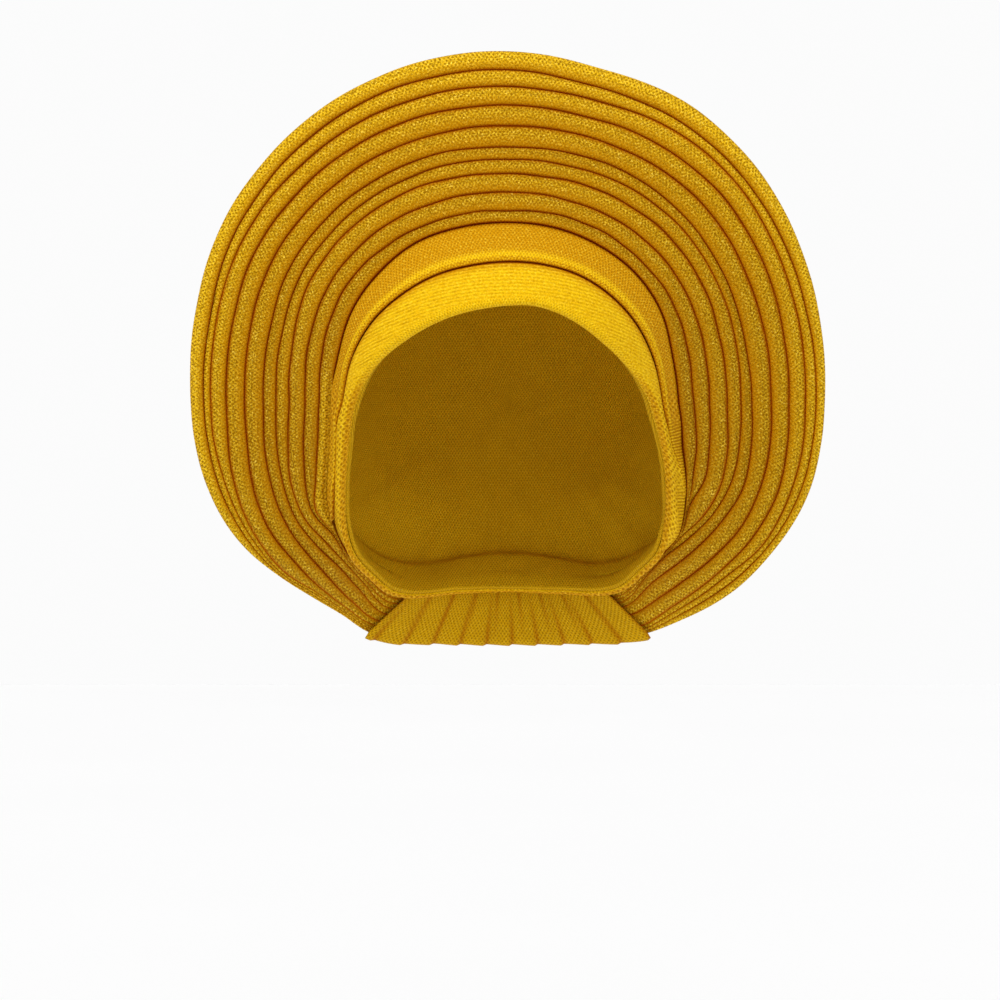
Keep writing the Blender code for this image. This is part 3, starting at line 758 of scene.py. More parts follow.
def pleat_cloth(colours, weave):
    """Mustard gold net with small dark holes, painted glints, painted light per pleat, and painted red-brown
    shade and glow in the creases and by the folds.
    """
    finish = Finish("pleat_net")
    u, v, vector = finish.map("cloth")
    # Threads stray both ways, and the specks open some holes and close others.
    stray = (finish.noise(vector, weave.wander_size) - 0.5) * weave.wander
    askew = (finish.noise(vector, weave.wander_size * 0.6) - 0.5) * weave.wander
    fibre = finish.noise(vector, weave.fibre_size, 3.0, 0.7)
    speck = finish.noise(vector, weave.fibre_size * 1.6, 1.0)
    blotch = finish.noise(vector, weave.blotch_size, 2.0)
    holes = net_holes(u + stray, v + askew, weave.net_pitch, weave.net_row)
    holes = (holes + speck * 1.15).above(0.95, HOLE_EDGE)
    # Arcs of stitches show in patches.
    stitches = arcs(u + stray, v + askew, weave.stitch_pitch, weave.stitch_row, weave.stitch_height,
                    weave.stitch_line)
    stitches = stitches * blotch.above(0.44, THREAD_EDGE)
    crease = finish.mark("crease")
    painted_shade = finish.mark("painted_shade")
    tone = finish.mark("tone")

    # A pleat with more painted light has more bright threads. Near its fold the cloth is smooth and turns to
    # painted shade, with few holes.
    base = finish.mix((1.1 - tone).clamped(), rgba(colours.pleat_light), rgba(colours.pleat_mid))
    base = finish.mix(fibre.below(0.5, THREAD_EDGE) * 0.6, base, rgba(colours.pleat_hole))
    base = finish.mix(fibre.above(0.51, THREAD_EDGE) * (0.5 + tone * 0.3), base, rgba(colours.pleat_thread))
    base = finish.mix(painted_shade * (0.95 - fibre * 0.3), base, rgba(colours.pleat_painted_shade))
    dark = finish.node("ShaderNodeMath", {"operation": "MAXIMUM"}, {0: holes, 1: stitches})
    base = finish.mix(dark * (1 - painted_shade * 0.7) * 0.75, base, rgba(colours.pleat_hole))

    # Glints: rare cells of metallic thread, more metallic and less rough, whose colour is painted bright as
    # painted highlights; none in the holes or the painted shade.
    cells = finish.node("ShaderNodeTexVoronoi", None, {"Vector": vector, "Scale": 1 / weave.glint_size},
                        output="Color")
    cell = finish.node("ShaderNodeSeparateColor", None, {0: cells}, output=0)
    glints = cell.above(GLINT_RARITY, GLINT_EDGE) * (1 - dark) * (1 - painted_shade)
    base = finish.mix(glints * 0.8, base, rgba(colours.glint))
    # Painted shade in the creases, broken up by the specks.
    crease = (crease * (0.5 + speck)).clamped()
    base = finish.mix(crease, base, rgba(colours.crease))
    # The creases also glow red-brown: a painted glow, an emission colour laid on by the crease mark.
    return finish.surface(
        {"Specular IOR Level": 0.1, "Specular Tint": rgba(colours.glint), "Emission Strength": 1.0},
        Base_Color=base, Roughness=0.75 - glints * 0.35, Metallic=glints * 0.3,
        Emission_Color=finish.mix(crease, rgba(colours.painted_glow, 0.0), rgba(colours.painted_glow)),
        Normal=threads(finish, dark, fibre, weave.net_relief))


def band_cloth(colours, weave):
    """Bright golden cloth: broken lines, with a net at the rolled edges and a twist at the ends, and painted
    shade and glow in its creases and shaded parts.
    """
    finish = Finish("band_weave")
    u, v, vector = finish.map("cloth")
    _, level, drape = finish.map("drape")
    stray = (finish.noise(drape, weave.wander_size) - 0.5) * weave.wander
    # The smooth face's broken lines, the edges' net and the rolls' coarse knit.
    twill = (((level + stray * 0.4) * (2 * math.pi / weave.twill_pitch)).sine() + 1) * 0.5
    breaks = finish.noise(drape, weave.fibre_size * 1.6, 2.0, 0.6)
    speck = finish.noise(vector, weave.fibre_size * 1.5, 1.0)
    holes = net_holes(u + stray * 0.7, v + stray * 0.4, weave.band_pitch, weave.band_row)
    holes = (holes + speck * 0.6).above(0.6, HOLE_EDGE)
    coarse = net_holes(u + stray, v + stray * 0.5, weave.knit_pitch, weave.knit_row)
    coarse = (coarse + speck * 0.9).above(0.75, HOLE_EDGE)
    fibre = finish.noise(vector, weave.fibre_size, 3.0, 0.7)
    blotch = finish.noise(vector, weave.blotch_size, 2.0)
    net = finish.mark("net")
    crease = finish.mark("crease")
    painted_shade = finish.mark("painted_shade")
    twist = finish.mark("twist")
    knit = finish.mark("knit")
    # The ends' slanting stitches, and the scallops on the lip.
    rope = (((u + v * 0.35) * (2 * math.pi / weave.rope_pitch)).sine() + 1) * 0.5
    arc = abs((u * (math.pi / weave.scallop_pitch)).sine()) * weave.scallop_height
    scallop = 1 - abs(finish.mark("scallop") * MM - arc) / weave.scallop_line

    # One kind of dip gives way to the next where the marks say so.
    lines = ((1 - twill) * (breaks * 3.0 - 0.8)).clamped()
    dips = lines * (1 - net) + holes * net
    dips = dips * (1 - knit) + coarse * knit
    dips = dips * (1 - twist) + ((1 - rope) * (0.5 + speck * 1.4)).clamped() * twist
    base = finish.mix(blotch.above(0.35, BLOTCH_EDGE), rgba(colours.band_light), rgba(colours.band_mid))
    # Painted shade: the cloth turns orange-brown where the shade mark is set.
    base = finish.mix(painted_shade, base, rgba(colours.band_painted_shade))
    base = finish.mix(fibre.below(0.5, BAND_THREAD_EDGE) * (0.35 + knit * 0.2), base, rgba(colours.band_deep))
    base = finish.mix(fibre.above(0.52, BAND_THREAD_EDGE) * 0.6, base, rgba(colours.band_thread))
    base = finish.mix(dips * (0.5 + painted_shade * 0.3 + knit * 0.35), base, rgba(colours.band_deep))
    base = finish.mix(scallop.clamped() * (speck * 2.0 - 0.3).clamped() * 0.75, base, rgba(colours.crease))
    # Painted shade in the creases, broken up by the specks.
    crease = (crease * (0.5 + speck)).clamped()
    base = finish.mix(crease, base, rgba(colours.crease))
    # The creases also glow red-brown: a painted glow, an emission colour laid on by the crease mark.
    return finish.surface(
        {"Specular IOR Level": 0.12, "Specular Tint": rgba(colours.glint), "Emission Strength": 1.0},
        Base_Color=base, Roughness=0.6 + dips * 0.15,
        Emission_Color=finish.mix(crease, rgba(colours.painted_glow, 0.0), rgba(colours.painted_glow)),
        Normal=threads(finish, dips, fibre, weave.net_relief))


def cap_cloth(colours, weave):
    """Plain mustard gold weave, matt, with painted shade where the crease mark is set, as between the strap's
    turns.
    """
    finish = Finish("plain_weave")
    u, v, vector = finish.map("cloth")
    holes = net_holes(u, v, weave.band_pitch, weave.band_row).above(0.35, HOLE_EDGE)
    fibre = finish.noise(vector, weave.fibre_size, 3.0)
    blotch = finish.noise(vector, weave.blotch_size * 3, 2.0)
    base = finish.mix(0.35 + blotch * 0.3, rgba(colours.pleat_light), rgba(colours.pleat_mid))
    base = finish.mix(fibre.above(0.5, CAP_THREAD_EDGE) * 0.4, base, rgba(colours.pleat_thread))
    base = finish.mix(holes * 0.6, base, rgba(colours.pleat_hole))
    base = finish.mix(finish.mark("crease"), base, rgba(colours.crease))
    return finish.surface(
        {"Specular IOR Level": 0.1, "Specular Tint": rgba(colours.glint)},
        Base_Color=base, Roughness=0.78 - fibre * 0.1, Normal=threads(finish, holes, fibre, weave.net_relief))


def length(name, description, default, largest):
    """A length that a user may change, in metres."""
    return bpy.props.FloatProperty(name=name, description=description, default=default, min=0.0, max=largest,
                                   precision=5, unit="LENGTH")


def colour(name, description, default):
    """A colour that a user may change."""
    return bpy.props.FloatVectorProperty(name=name, description=description, default=default, size=3,
                                         min=0.0, max=1.0, subtype="COLOR")


class WRAP_PG_shape(bpy.types.PropertyGroup):
    """Sizes of the folds."""

    pleat_height: length("Pleat height", "How far a pleat bulges towards the viewer", 0.0032, 0.006)
    fold_wander: length("Fold wander", "How far a fold strays from its drawn line", 0.0003, 0.001)
    back_fold: length("Back folds", "Height of the soft folds on the cap", 0.0008, 0.002)


class WRAP_PG_weave(bpy.types.PropertyGroup):
    """Sizes of the weave."""

    net_pitch: length("Net pitch", "Distance between holes in a row of the pleats' net", 0.0016, 0.01)
    net_row: length("Net row", "Distance between rows of holes", 0.0013, 0.01)
    net_relief: length("Net relief", "Height of the threads", 0.0004, 0.002)
    band_pitch: length("Band pitch", "Distance between holes in the bands' net", 0.0015, 0.01)
    band_row: length("Band row", "Distance between rows of holes in the bands", 0.0012, 0.01)
    scallop_pitch: length("Scallop pitch", "Width of a scallop on the lip", 0.0042, 0.02)
    scallop_height: length("Scallop height", "Height of a scallop on the lip", 0.0007, 0.005)
    scallop_line: length("Scallop line", "Width of the line round a scallop", 0.0004, 0.005)
    twill_pitch: length("Line pitch", "Distance between the broken lines of the lower band", 0.00145, 0.01)
    rope_pitch: length("Twist pitch", "Distance between the slanting stitches of a band's end", 0.00135, 0.01)
    stitch_pitch: length("Stitch pitch", "Width of a stitch's arc on the pleats", 0.0043, 0.02)
    stitch_row: length("Stitch row", "Distance between rows of arcs", 0.0034, 0.02)
    stitch_height: length("Stitch height", "Height of an arc", 0.0010, 0.01)
    stitch_line: length("Stitch line", "Half the width of an arc's line", 0.0004, 0.005)
    knit_pitch: length("Knit pitch", "Width of a stitch on the rolls beside the face", 0.0026, 0.01)
    knit_row: length("Knit row", "Distance between rows of stitches on the rolls", 0.0015, 0.01)
    fibre_size: length("Fibre size", "Size of the finest uneven spots", 0.0009, 0.005)
    glint_size: length("Glint size", "Size of a metallic glint", 0.0006, 0.005)
    blotch_size: length("Blotch size", "Size of the soft changes of colour", 0.004, 0.1)
    wander: length("Thread wander", "How far a thread strays", 0.0009, 0.005)
    wander_size: length("Wander size", "Length over which a thread strays", 0.003, 0.05)


class WRAP_PG_colours(bpy.types.PropertyGroup):
    """Colours of the cloth, with the light, shade, glow and glints painted on it."""

    # On the pleats the tone mark mixes these two as painted light (pleat light) and painted shade (pleat
    # middle); on the cap they mix at random.
    pleat_light: colour("Pleat light", "Threads of the pleats in the light", (0.80, 0.46, 0.006))
    pleat_mid: colour("Pleat middle", "Threads of the pleats", (0.40, 0.19, 0.001))
    pleat_thread: colour("Pleat thread", "Single bright threads of the pleats", (0.98, 0.68, 0.05))
    # Painted shade near a pleat's inner fold, where the cloth turns away.
    pleat_painted_shade: colour("Pleat fold", "Cloth near a pleat's rounded inner fold", (0.42, 0.155, 0.0))
    pleat_hole: colour("Pleat hole", "Holes between the threads", (0.20, 0.075, 0.0))
    band_light: colour("Band light", "Bright cloth of the bands", (0.90, 0.55, 0.005))
    band_mid: colour("Band middle", "Cloth of the bands", (0.82, 0.46, 0.002))
    band_thread: colour("Band thread", "Single bright threads of the bands", (1.0, 0.70, 0.045))
    # Painted shade on the upper band off its lip, and at the lower band's back and face edges.
    band_painted_shade: colour("Band shade", "Orange cloth of the upper band", (0.60, 0.25, 0.0))
    band_deep: colour("Band dips", "Dips between the threads of the bands", (0.40, 0.165, 0.0))
    # Painted shade in the creases; also the colour of the scallop lines on the lip.
    crease: colour("Crease", "Deep cloth in a crease", (0.32, 0.06, 0.0))
    # Painted glow: an emission colour in the creases, not a lamp.
    painted_glow: colour("Glow", "Light that comes through the cloth into a crease", (0.065, 0.008, 0.0))
    # Painted highlight of the glints on metallic threads, and the tint of the cloth's specular.
    glint: colour("Glint", "Metallic thread", (1.0, 0.70, 0.08))


class WRAP_PG_stage(bpy.types.PropertyGroup):
    """The studio."""

    floor_drop: length("Floor drop", "How far the floor lies under the origin", 0.45, 2.0)
    floor_colour: colour("Floor", "Colour of the floor", (0.97, 0.97, 0.97))
    backdrop_colour: colour("Backdrop", "Colour behind the wrap", (0.97, 0.97, 0.97))
    air_light: bpy.props.FloatProperty(name="Air light", description="Strength of the light from all round",
                                       default=0.5, min=0.0, max=5.0)
    key_light: bpy.props.FloatProperty(name="Key light", description="Strength of the light from above",
                                       default=2.05, min=0.0, max=50.0)
    fill_light: bpy.props.FloatProperty(name="Fill light", description="Strength of the light from the front",
                                        default=0.5, min=0.0, max=50.0)


def settle(piece, node, material):
    """Dress a piece, and let it stand for its node of the frame."""
    piece.data.materials.append(material)
    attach(piece, "root")
    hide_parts(node)


class WRAP_OT_crown_cap(bpy.types.Operator):
    """Make the hollow cap over the skull"""

    bl_idname = "wrap.crown_cap"
    bl_label = "Crown cap"

    def execute(self, context):
        stations = Stations(ring_clocks(RING_STEP))
        t = np.concatenate([np.linspace(*run) for run in CAP_RUNS])[None, :]
        start = stations.behind_seat(FAN_FOOT)
        low = (stations.under_layer() - LAYER_GAP) * (1 - ramp(t, (start, SEAT + 1)))
        fold_height = context.scene.wrap_shape.back_fold / MM
        offset = low + self.soft_folds(stations, t, start) * fold_height
        outer = stations.cover(t, offset)
        inner = stations.cover(t[:, ::-1], offset[:, ::-1] - CAP_WALL)
        pole = pairs(np.array(POLE_RADII)[None] * np.ones((len(stations.clocks), 1)), BACK_POLE_DEPTH)
        inner_pole = pole[:, ::-1] - (0.0, CAP_WALL)
        points = stations.placed(np.concatenate([outer, pole, inner_pole, inner], axis=1))
        uv = self.map_from_pole(stations.clocks, points, outer.shape[1])
        piece = woven("cap_cloth", points, {"cloth": uv}, {"crease": np.zeros(points.shape[1])}, ring=True)
        material = cap_cloth(context.scene.wrap_colours, context.scene.wrap_weave)
        settle(piece, "crown_cap", material)
        return {"FINISHED"}

    @staticmethod
    def soft_folds(stations, t, start):
        """The soft folds from a line behind the fan's seat to the pole, about 1 at their highest."""
        wide, narrow, gathers = [ripple(stations.clocks, waves, CAP_SEED + k)[:, None]
                                 for k, waves in enumerate(CAP_WAVES)]
        folds = wide * WIDE_FOLDS + narrow * NARROW_FOLDS * ramp(t, NARROW_FADE)
        folds = folds + gathers * ramp(stations.from_top, NAPE_GATHERS) * ramp(t, GATHERS_FADE)
        return folds * ramp(t, (start, start + FOLDS_BEGIN)) * ramp(t, POLE_FADE)

    @staticmethod
    def map_from_pole(clocks, points, pole):
        """UVs in metres, laid out round the pole, which is so many points along a section."""
        reach = lengths_along(points, closed=True)
        from_pole = close_grid(np.abs(reach - reach[:, pole:pole + 1]), True)
        angle = np.radians(np.append(clocks, clocks[0]))[:, None]
        return np.stack([from_pole * np.sin(angle), from_pole * np.cos(angle)], axis=-1)


class WRAP_OT_lower_band(bpy.types.Operator):
    """Make the band round the face, which closes round the nape"""

    bl_idname = "wrap.lower_band"
    bl_label = "Lower band"

    def execute(self, context):
        material = band_cloth(context.scene.wrap_colours, context.scene.wrap_weave)
        stations = Stations(ring_clocks(BAND_STEP))
        end, merged = stations.lip_line(), stations.merged()
        share, height = columns(BAND_COLUMNS, LOWER_BAND_FACE).values()
        height = height + MERGED_FILL * np.maximum(-height, 0) * ramp(share, BACK_EDGE) * merged
        inner_share = np.array(LOWER_BAND_INSIDE)
        face = stations.cover(share * end, height)
        inside = stations.cover(inner_share * end, stations.under_layer())
        seen = np.concatenate([face, inside], axis=1)
        points = stations.placed(seen)
        across = np.concatenate([share, inner_share])
        outside = np.arange(len(across)) < len(share)
        beside_face = ramp(stations.from_top, BESIDE_FACE)
        parted = (1 - merged) * (1 - ramp(stations.from_top, HEM_CLOCKS))
        twist = np.where(stations.column > 0, ramp(stations.column, RIGHT_STITCHES),
                         ramp(-stations.column, LEFT_STITCHES))
        face_shade = ramp(across, FACE_SHADE) * beside_face * outside
        # The crease and shade marks are painted shade, at the back edge and at the rolled edge beside the
        # face.
        marks = {
            "crease": ramp(across, BACK_CREASE) * SHADE * parted,
            "painted_shade": np.maximum(ramp(across, BACK_SHADE) * parted, face_shade) * SHADE,
            "net": np.maximum(np.maximum(ramp(across, FACE_NET), ~outside), beside_face),
            "twist": twist * ramp(across, TWISTED_PART),
            "knit": stations.knitted() * outside,
            "scallop": np.full(len(across), OFF_THE_LIP),
        }
        maps = band_maps(stations, seen, points, outside, ring=True)
        piece = woven("lower_band_cloth", points, maps, marks, ring=True)
        settle(piece, "lower_band", material)
        return {"FINISHED"}


class WRAP_OT_upper_band(bpy.types.Operator):
    """Make the second band, with its raised lip"""

    bl_idname = "wrap.upper_band"
    bl_label = "Upper band"

    def execute(self, context):
        stations = Stations(clocks_between(*UPPER_BAND_ENDS, BAND_STEP))
        merged, soft_root = stations.merged(), stations.soft_root()
        front = stations.lip_line()
        width = stations.behind_seat(BAND_TUCK) - front
        share, height = columns(BAND_COLUMNS, UPPER_BAND_FACE).values()
        height = height - np.maximum(height, 0) * merged
        height = height + EAR_RISE * soft_root * ramp(share, EAR_PART)
        inner_share = np.array(UPPER_BAND_INSIDE)
        face = stations.cover(front + share * width, height)
        inside = stations.cover(front + inner_share * width, stations.under_layer())
        seen = np.concatenate([face, inside], axis=1)
        points = stations.placed(seen)
        across = np.concatenate([share, inner_share])
        outside = np.arange(len(across)) < len(share)
        lip = np.exp(-((across - LIP_MIDDLE) / LIP_WIDTH) ** 2) * outside
        under_lip = np.arange(len(across)) <= UNDER_LIP
        at_seat = ramp(across, SEAT_CREASE) * SEAT_CREASE_DEPTH * (1 - SOFT_CREASE * soft_root)
        up_the_lip = lengths_along(points, closed=False) / MM
        scallop = up_the_lip - up_the_lip[:, UNDER_LIP:UNDER_LIP + 1] - SCALLOP_ROW
        scallop = np.where(outside & (across < LIP_END), scallop, OFF_THE_LIP) + OFF_MERGED_LIP * merged
        # The crease and shade marks are painted shade: at the seat, under the lip, and over the band off its
        # lip.
        marks = {
            "crease": np.maximum(at_seat, under_lip * LIP_CREASE_DEPTH * (1 - merged)),
            "painted_shade": UPPER_BAND_PAINTED_SHADE * (1 - lip) * (1 - MERGED_LESS_SHADE * merged),
            "net": np.ones(len(across)),
            "twist": ramp(stations.column, UPPER_STITCHES),
            "knit": stations.knitted() * outside,
            "scallop": scallop,
        }
        maps = band_maps(stations, seen, points, outside, ring=False)
        piece = woven("upper_band_cloth", points, maps, marks, ring=False, caps=(0, len(stations.clocks) - 1))
        settle(piece, "upper_band", bpy.data.materials["band_weave"])
        return {"FINISHED"}


class WRAP_OT_pleated_fan(bpy.types.Operator):
    """Make the halo of ten overlapping pleats"""

    bl_idname = "wrap.pleated_fan"
    bl_label = "Pleated fan"

    def execute(self, context):
        shape = context.scene.wrap_shape
        stations = Stations(ring_clocks(RING_STEP))
        folds = self.wandering_folds(stations, shape.fold_wander / MM)
        strips = self.pleats(stations, folds, shape.pleat_height / MM)
        strips.append(self.strip(self.foot(stations, folds), FOOT_CREASES, TUCK_PAINTED_SHADE))
        strips += self.reverse(folds)
        seen = np.concatenate([points for points, _ in strips], axis=1)
        crease, painted_shade, tone, pleat = np.concatenate([marks for _, marks in strips], axis=1)

        # Every point of a pleat has one radius in the map, so that its weave isn't sheared.
        radius = seen[..., 0].mean(axis=0)
        for k in range(PLEATS):
            radius[pleat == k] = radius[pleat == k].mean()
        angle = np.radians(np.append(stations.clocks, stations.clocks[-1] + RING_STEP))[:, None]
        maps = {"cloth": cloth_map(seen, angle * np.append(radius, radius[-1]), True)}
        soft_root = stations.soft_root()
        end = np.count_nonzero(pleat >= 0)
        # The crease and shade marks are painted shade, paler over the left ear; the tone is painted light,
        # and there the innermost pleat is painted lighter.
        marks = {"crease": self.faded(crease, end - SOFT_CREASE_REACH, end + len(FOOT_STEPS), soft_root),
                 "painted_shade": self.faded(painted_shade, end - SOFT_SHADE_REACH, end + len(FOOT_STEPS), soft_root),
                 "tone": tone + EAR_PAINTED_LIGHT * soft_root * (pleat == PLEATS - 1)}
        piece = woven("fan_cloth", stations.placed(seen), maps, marks, ring=True)
        material = pleat_cloth(context.scene.wrap_colours, context.scene.wrap_weave)
        settle(piece, "pleated_fan", material)
        return {"FINISHED"}

    @staticmethod
    def wandering_folds(stations, reach):
        """The rim and the folds, each straying from its drawn line, but never far in a narrow pleat."""
        wander = np.stack([ripple(stations.clocks, FOLD_WAVES, k) for k in range(PLEATS + 1)], axis=1)
        wander[:, 0] *= RIM_WANDER
        wander *= reach * (1 - stations.gathered())
        wander[:, -1] = 0.0
        room = np.clip(-np.diff(stations.folds()[..., 0], axis=1) / WANDER_PART, 0, 1)
        wander[:, :-1] *= room
        wander[:, 1:-1] *= room[:, :-1]
        return stations.folds(wander)

    @staticmethod
    def strip(points, crease, painted_shade, tone=REVERSE_PAINTED_LIGHT, pleat=-1):
        """A strip of a section: its points, and their painted crease shade, painted shade, painted light and
        pleat.
        """
        marks = [np.broadcast_to(mark, points.shape[1]) for mark in (crease, painted_shade, tone, pleat)]
        return points, np.stack(marks).astype(float)

    @staticmethod
    def on_line(inner, outer, share, height):
        """Points between two folds, raised towards the viewer."""
        share, height = np.broadcast_arrays(share, height)
        seen = inner[:, None, :] + share[..., None] * (outer - inner)[:, None, :]
        seen[..., 1] -= height
        return seen

    def pleats(self, stations, folds, pleat_height):
        """Strips of the front: each pleat's tuck under the next one out, its round face and its own tuck."""
        across, *profile = columns(PLEAT_COLUMNS, PLEAT_PROFILE).values()
        squeeze = 1 - BOUND_SQUEEZE * stations.gathered()
        round_edge = np.sqrt(np.clip(1 - ((across - RIM_MIDDLE) / (1 - RIM_MIDDLE)) ** 2, 0, 1))
        strips = []
        for k, tone in enumerate(PLEAT_PAINTED_LIGHT):
            outer, inner = folds[:, k], folds[:, k + 1]
            width = (outer - inner)[:, :1]
            swell = 1 + SWELL * ripple(stations.clocks, SWELL_WAVES, SWELL_SEED + k)[:, None]
            rise = pleat_height * np.minimum(1.0, width / FULL_PLEAT_WIDTH) * squeeze * swell
            height, crease, painted_shade = profile
            if k == 0:
                height = np.where(across > RIM_MIDDLE, np.maximum(height, round_edge), height)
                crease, painted_shade = [np.where(across > RIM_CREASE_END, 0.0, mark) for mark in (crease, painted_shade)]
            else:
                width_out = (folds[:, k - 1] - outer)[:, :1]
                start = 1 + np.minimum(PLEAT_TUCK, OUTER_TUCK_SHARE * width_out) / width
                points = self.on_line(inner, outer, start, OUTER_TUCK_HEIGHT * rise)
                strips.append(self.strip(points, 1.0, TUCK_PAINTED_SHADE, tone, k))
            if k == PLEATS - 1:
                height = height * (1 - SOFTENING * stations.soft_root() * ramp(across, SOFT_PART))
            points = self.on_line(inner, outer, across, height * rise)
            strips.append(self.strip(points, crease, painted_shade, tone, k))
            tuck = np.minimum(PLEAT_TUCK, TUCK_SHARE * width) / width
            points = self.on_line(inner, outer, tuck, TUCK_HEIGHT * rise)
            strips.append(self.strip(points, 1.0, TUCK_PAINTED_SHADE, tone, k))
        return strips

    @staticmethod
    def foot(stations, folds):
        """The cloth from the innermost tuck to the fan's foot on the cap, drawn to the roots at the strap."""
        low = stations.under_layer()
        on_band = np.full_like(low, LAYER_GAP)
        step = stations.behind_seat(BAND_TUCK + LAYER_GAP)
        t = np.concatenate([np.full_like(step, SEAT), step, step, stations.behind_seat(FAN_FOOT)], axis=1)
        standing = stations.cover(t, np.concatenate([on_band, on_band, low, low], axis=1))
        bound = folds[:, -1:] + pairs(0.0, np.array(FOOT_STEPS) * FAN_BACK)[None]
        return standing + (bound - standing) * ramp(stations.from_top, FOOT_CLOCKS)[..., None]

    def reverse(self, folds):
        """Strips of the fan's back, from the innermost pleat out to the rim and round its edge."""
        across, depth, crease = columns(REVERSE_COLUMNS, REVERSE_PROFILE).values()
        strips = []
        for k in range(PLEATS - 2, -1, -1):
            outer, inner = folds[:, k], folds[:, k + 1]
            step_size = np.minimum(1.0, (outer - inner)[:, :1] / FULL_PLEAT_WIDTH)
            height = -(FAN_BACK + (depth - FAN_BACK) * step_size)
            strips.append(self.strip(self.on_line(inner, outer, across, height), crease, REVERSE_PAINTED_SHADE))
        inside, height = columns(RIM_EDGE_COLUMNS, RIM_EDGE).values()
        rim, inner = folds[:, 0], folds[:, 1]
        share = 1 - inside / (rim - inner)[:, :1]
        strips.append(self.strip(self.on_line(inner, rim, share, height), 0.0, RIM_PAINTED_SHADE))
        return strips

    @staticmethod
    def faded(values, start, end, share):
        """Marks that are paler from one point of the section to another, by a share at each section."""
        paler = np.zeros(len(values))
        paler[start:end] = SOFT_CREASE
        return values * (1 - paler * share)


class WRAP_OT_nape_binding(bpy.types.Operator):
    """Make the strap wound round the gathered pleat ends"""

    bl_idname = "wrap.nape_binding"
    bl_label = "Nape binding"

    def execute(self, context):
        clocks = clocks_between(BINDING_CLOCK, FULL_TURN - BINDING_CLOCK, BINDING_STEP)
        outside, crease = self.rounded_box(clocks, BINDING_WALL, WINDING_HEIGHT, OUTER_CORNER)
        inside, _ = self.rounded_box(clocks, 0.0, 0.0, INNER_CORNER)
        piece = self.sleeve(outside, inside, clocks, crease)
        settle(piece, "nape_binding", bpy.data.materials["plain_weave"])
        return {"FINISHED"}

    @staticmethod
    def rounded_box(clocks, wall, ridge, corner):
        """Points round the gathered pleats, and how much painted crease shade each gets beside a turn of the
        strap.
        """
        to_middle = 1 - clocks / (FULL_TURN / 2)
        seen, creases = [], []
        for at_root, outward, backward, start in CORNERS:
            swept = clocks + at_root * END_SLANT * to_middle / to_middle[0]
            stations = Stations(np.where(swept > FULL_TURN / 2, swept - FULL_TURN, swept))
            centre = stations.folds()[:, -1 if at_root else 0]
            turn = (swept + at_root * WINDING_SLANT - BINDING_CLOCK) / WINDING_STEP % 1.0
            standing = ridge * (1 - turn) * smooth_step(turn / WINDING_RISE)
            room = LAYER_GAP + TWIST_ROOM + wall + standing
            depth_room = room + (BOUND_HEIGHT if backward < 0 else FAN_BACK)
            crease = np.exp(-(np.minimum(turn, 1 - turn) / WINDING_CREASE) ** 2)
            for bend in (start + np.linspace(0, 0.5, CORNER_POINTS)) * math.pi:
                radius = centre[:, 0] + outward * (room - corner) + corner * math.cos(bend)
                depth = centre[:, 1] + backward * (depth_room - corner) - corner * math.sin(bend)
                seen.append(stations.placed(pairs(radius, depth)[:, None]))
                creases.append(crease)
        return np.concatenate(seen, axis=1), np.stack(creases, axis=1)

    @staticmethod
    def sleeve(outside, inside, clocks, crease):
        """A tube with a wall: out along the outside, round its ends and back along the inside."""
        grid = np.concatenate([outside, inside[::-1]])
        lengths = lengths_along(grid, closed=True)
        along = np.concatenate([clocks, clocks[::-1], clocks[:1]])
        u = np.radians(along)[:, None] * BINDING_RADIUS * np.ones(grid.shape[1] + 1)
        uv = np.stack([u, close_grid(lengths, True)], axis=-1)
        crease = np.concatenate([crease * WINDING_CREASE_DEPTH, 0 * crease])
        return woven("binding_cloth", grid, {"cloth": uv}, {"crease": crease}, ring=True)


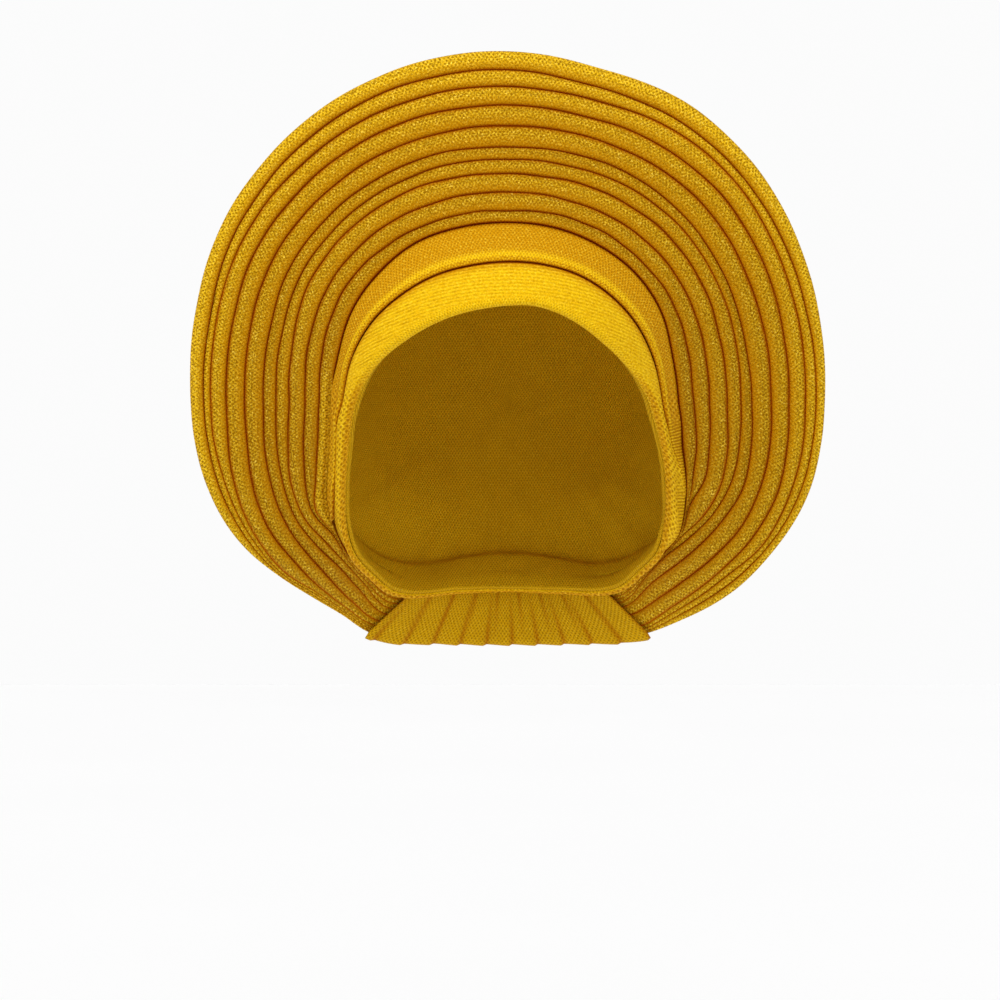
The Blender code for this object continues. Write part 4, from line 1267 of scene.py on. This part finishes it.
class WRAP_OT_stage(bpy.types.Operator):
    """Make the floor, the lights and the camera"""

    bl_idname = "wrap.stage"
    bl_label = "Stage"

    def execute(self, context):
        stage = context.scene.wrap_stage
        bpy.ops.mesh.primitive_plane_add(size=FLOOR_SIZE, location=(0.0, 0.0, -stage.floor_drop))
        floor = context.object
        floor.name = "floor"
        paper = Finish("floor_paper")
        grain = paper.noise(paper.node("ShaderNodeTexCoord", output="Object"), FLOOR_GRAIN)
        tone = paper.mix(grain, rgba(stage.floor_colour), rgba(stage.floor_colour, FLOOR_SHADE))
        floor.data.materials.append(paper.surface({"Roughness": 0.9}, Base_Color=tone))

        world = bpy.data.worlds.new("studio_air")
        world.use_nodes = True
        nodes, links = world.node_tree.nodes, world.node_tree.links
        air = nodes["Background"]
        air.inputs["Strength"].default_value = stage.air_light
        backdrop = nodes.new("ShaderNodeBackground")
        backdrop.inputs["Color"].default_value = rgba(stage.backdrop_colour)
        path = nodes.new("ShaderNodeLightPath")
        choice = nodes.new("ShaderNodeMixShader")
        links.new(path.outputs["Is Camera Ray"], choice.inputs["Fac"])
        links.new(air.outputs["Background"], choice.inputs[1])
        links.new(backdrop.outputs["Background"], choice.inputs[2])
        links.new(choice.outputs["Shader"], nodes["World Output"].inputs["Surface"])
        air.inputs["Color"].default_value = (1.0, 1.0, 1.0, 1.0)
        context.scene.world = world

        self.distant_light("key_light", KEY_FROM, KEY_WIDTH, stage.key_light)
        self.distant_light("fill_light", FILL_FROM, FILL_WIDTH, stage.fill_light)

        camera = bpy.data.cameras.new("camera")
        camera.sensor_width = SENSOR_WIDTH
        camera.lens = SENSOR_WIDTH * EYE_DISTANCE / FRAME_WIDTH
        eye = bpy.data.objects.new("camera", camera)
        eye.location = (EYE_X * MM, -EYE_DISTANCE * MM, EYE_Z * MM)
        eye.rotation_euler = (math.pi / 2, 0.0, 0.0)
        context.scene.collection.objects.link(eye)
        context.scene.camera = eye
        context.scene.view_settings.view_transform = "Standard"
        return {"FINISHED"}

    @staticmethod
    def distant_light(name, towards, width, strength):
        """A light from a wide patch of the sky, so many degrees across, that lies in a direction."""
        bpy.ops.object.light_add(type="SUN", location=towards)
        lamp = bpy.context.object
        lamp.name = name
        lamp.data.angle = math.radians(width)
        lamp.data.energy = strength
        lamp.rotation_euler = lamp.location.to_track_quat("Z", "Y").to_euler()


class WRAP_PT_panel(bpy.types.Panel):
    """The pieces of the head wrap"""

    bl_idname = "WRAP_PT_panel"
    bl_label = "Head wrap"
    bl_space_type = "VIEW_3D"
    bl_region_type = "UI"
    bl_category = "Head wrap"

    def draw(self, context):
        column = self.layout.column(align=True)
        for piece in PIECES:
            column.operator(piece.bl_idname)
        for group in ("wrap_shape", "wrap_weave", "wrap_colours", "wrap_stage"):
            settings = getattr(context.scene, group)
            box = self.layout.box()
            for name in settings.__annotations__:
                box.prop(settings, name)


PIECES = (WRAP_OT_crown_cap, WRAP_OT_lower_band, WRAP_OT_upper_band, WRAP_OT_pleated_fan,
          WRAP_OT_nape_binding, WRAP_OT_stage)
GROUPS = {"wrap_shape": WRAP_PG_shape, "wrap_weave": WRAP_PG_weave, "wrap_colours": WRAP_PG_colours,
          "wrap_stage": WRAP_PG_stage}


def register():
    for group, kind in GROUPS.items():
        bpy.utils.register_class(kind)
        setattr(bpy.types.Scene, group, bpy.props.PointerProperty(type=kind))
    for kind in PIECES + (WRAP_PT_panel,):
        bpy.utils.register_class(kind)


def unregister():
    for kind in (WRAP_PT_panel,) + PIECES[::-1]:
        bpy.utils.unregister_class(kind)
    for group, kind in GROUPS.items():
        delattr(bpy.types.Scene, group)
        bpy.utils.unregister_class(kind)


def main():
    register()
    bpy.ops.object.select_all(action="DESELECT")
    bpy.ops.wrap.crown_cap()
    bpy.ops.wrap.lower_band()
    bpy.ops.wrap.upper_band()
    bpy.ops.wrap.pleated_fan()
    bpy.ops.wrap.nape_binding()
    bpy.ops.wrap.stage()


if __name__ == "__main__":
    main()
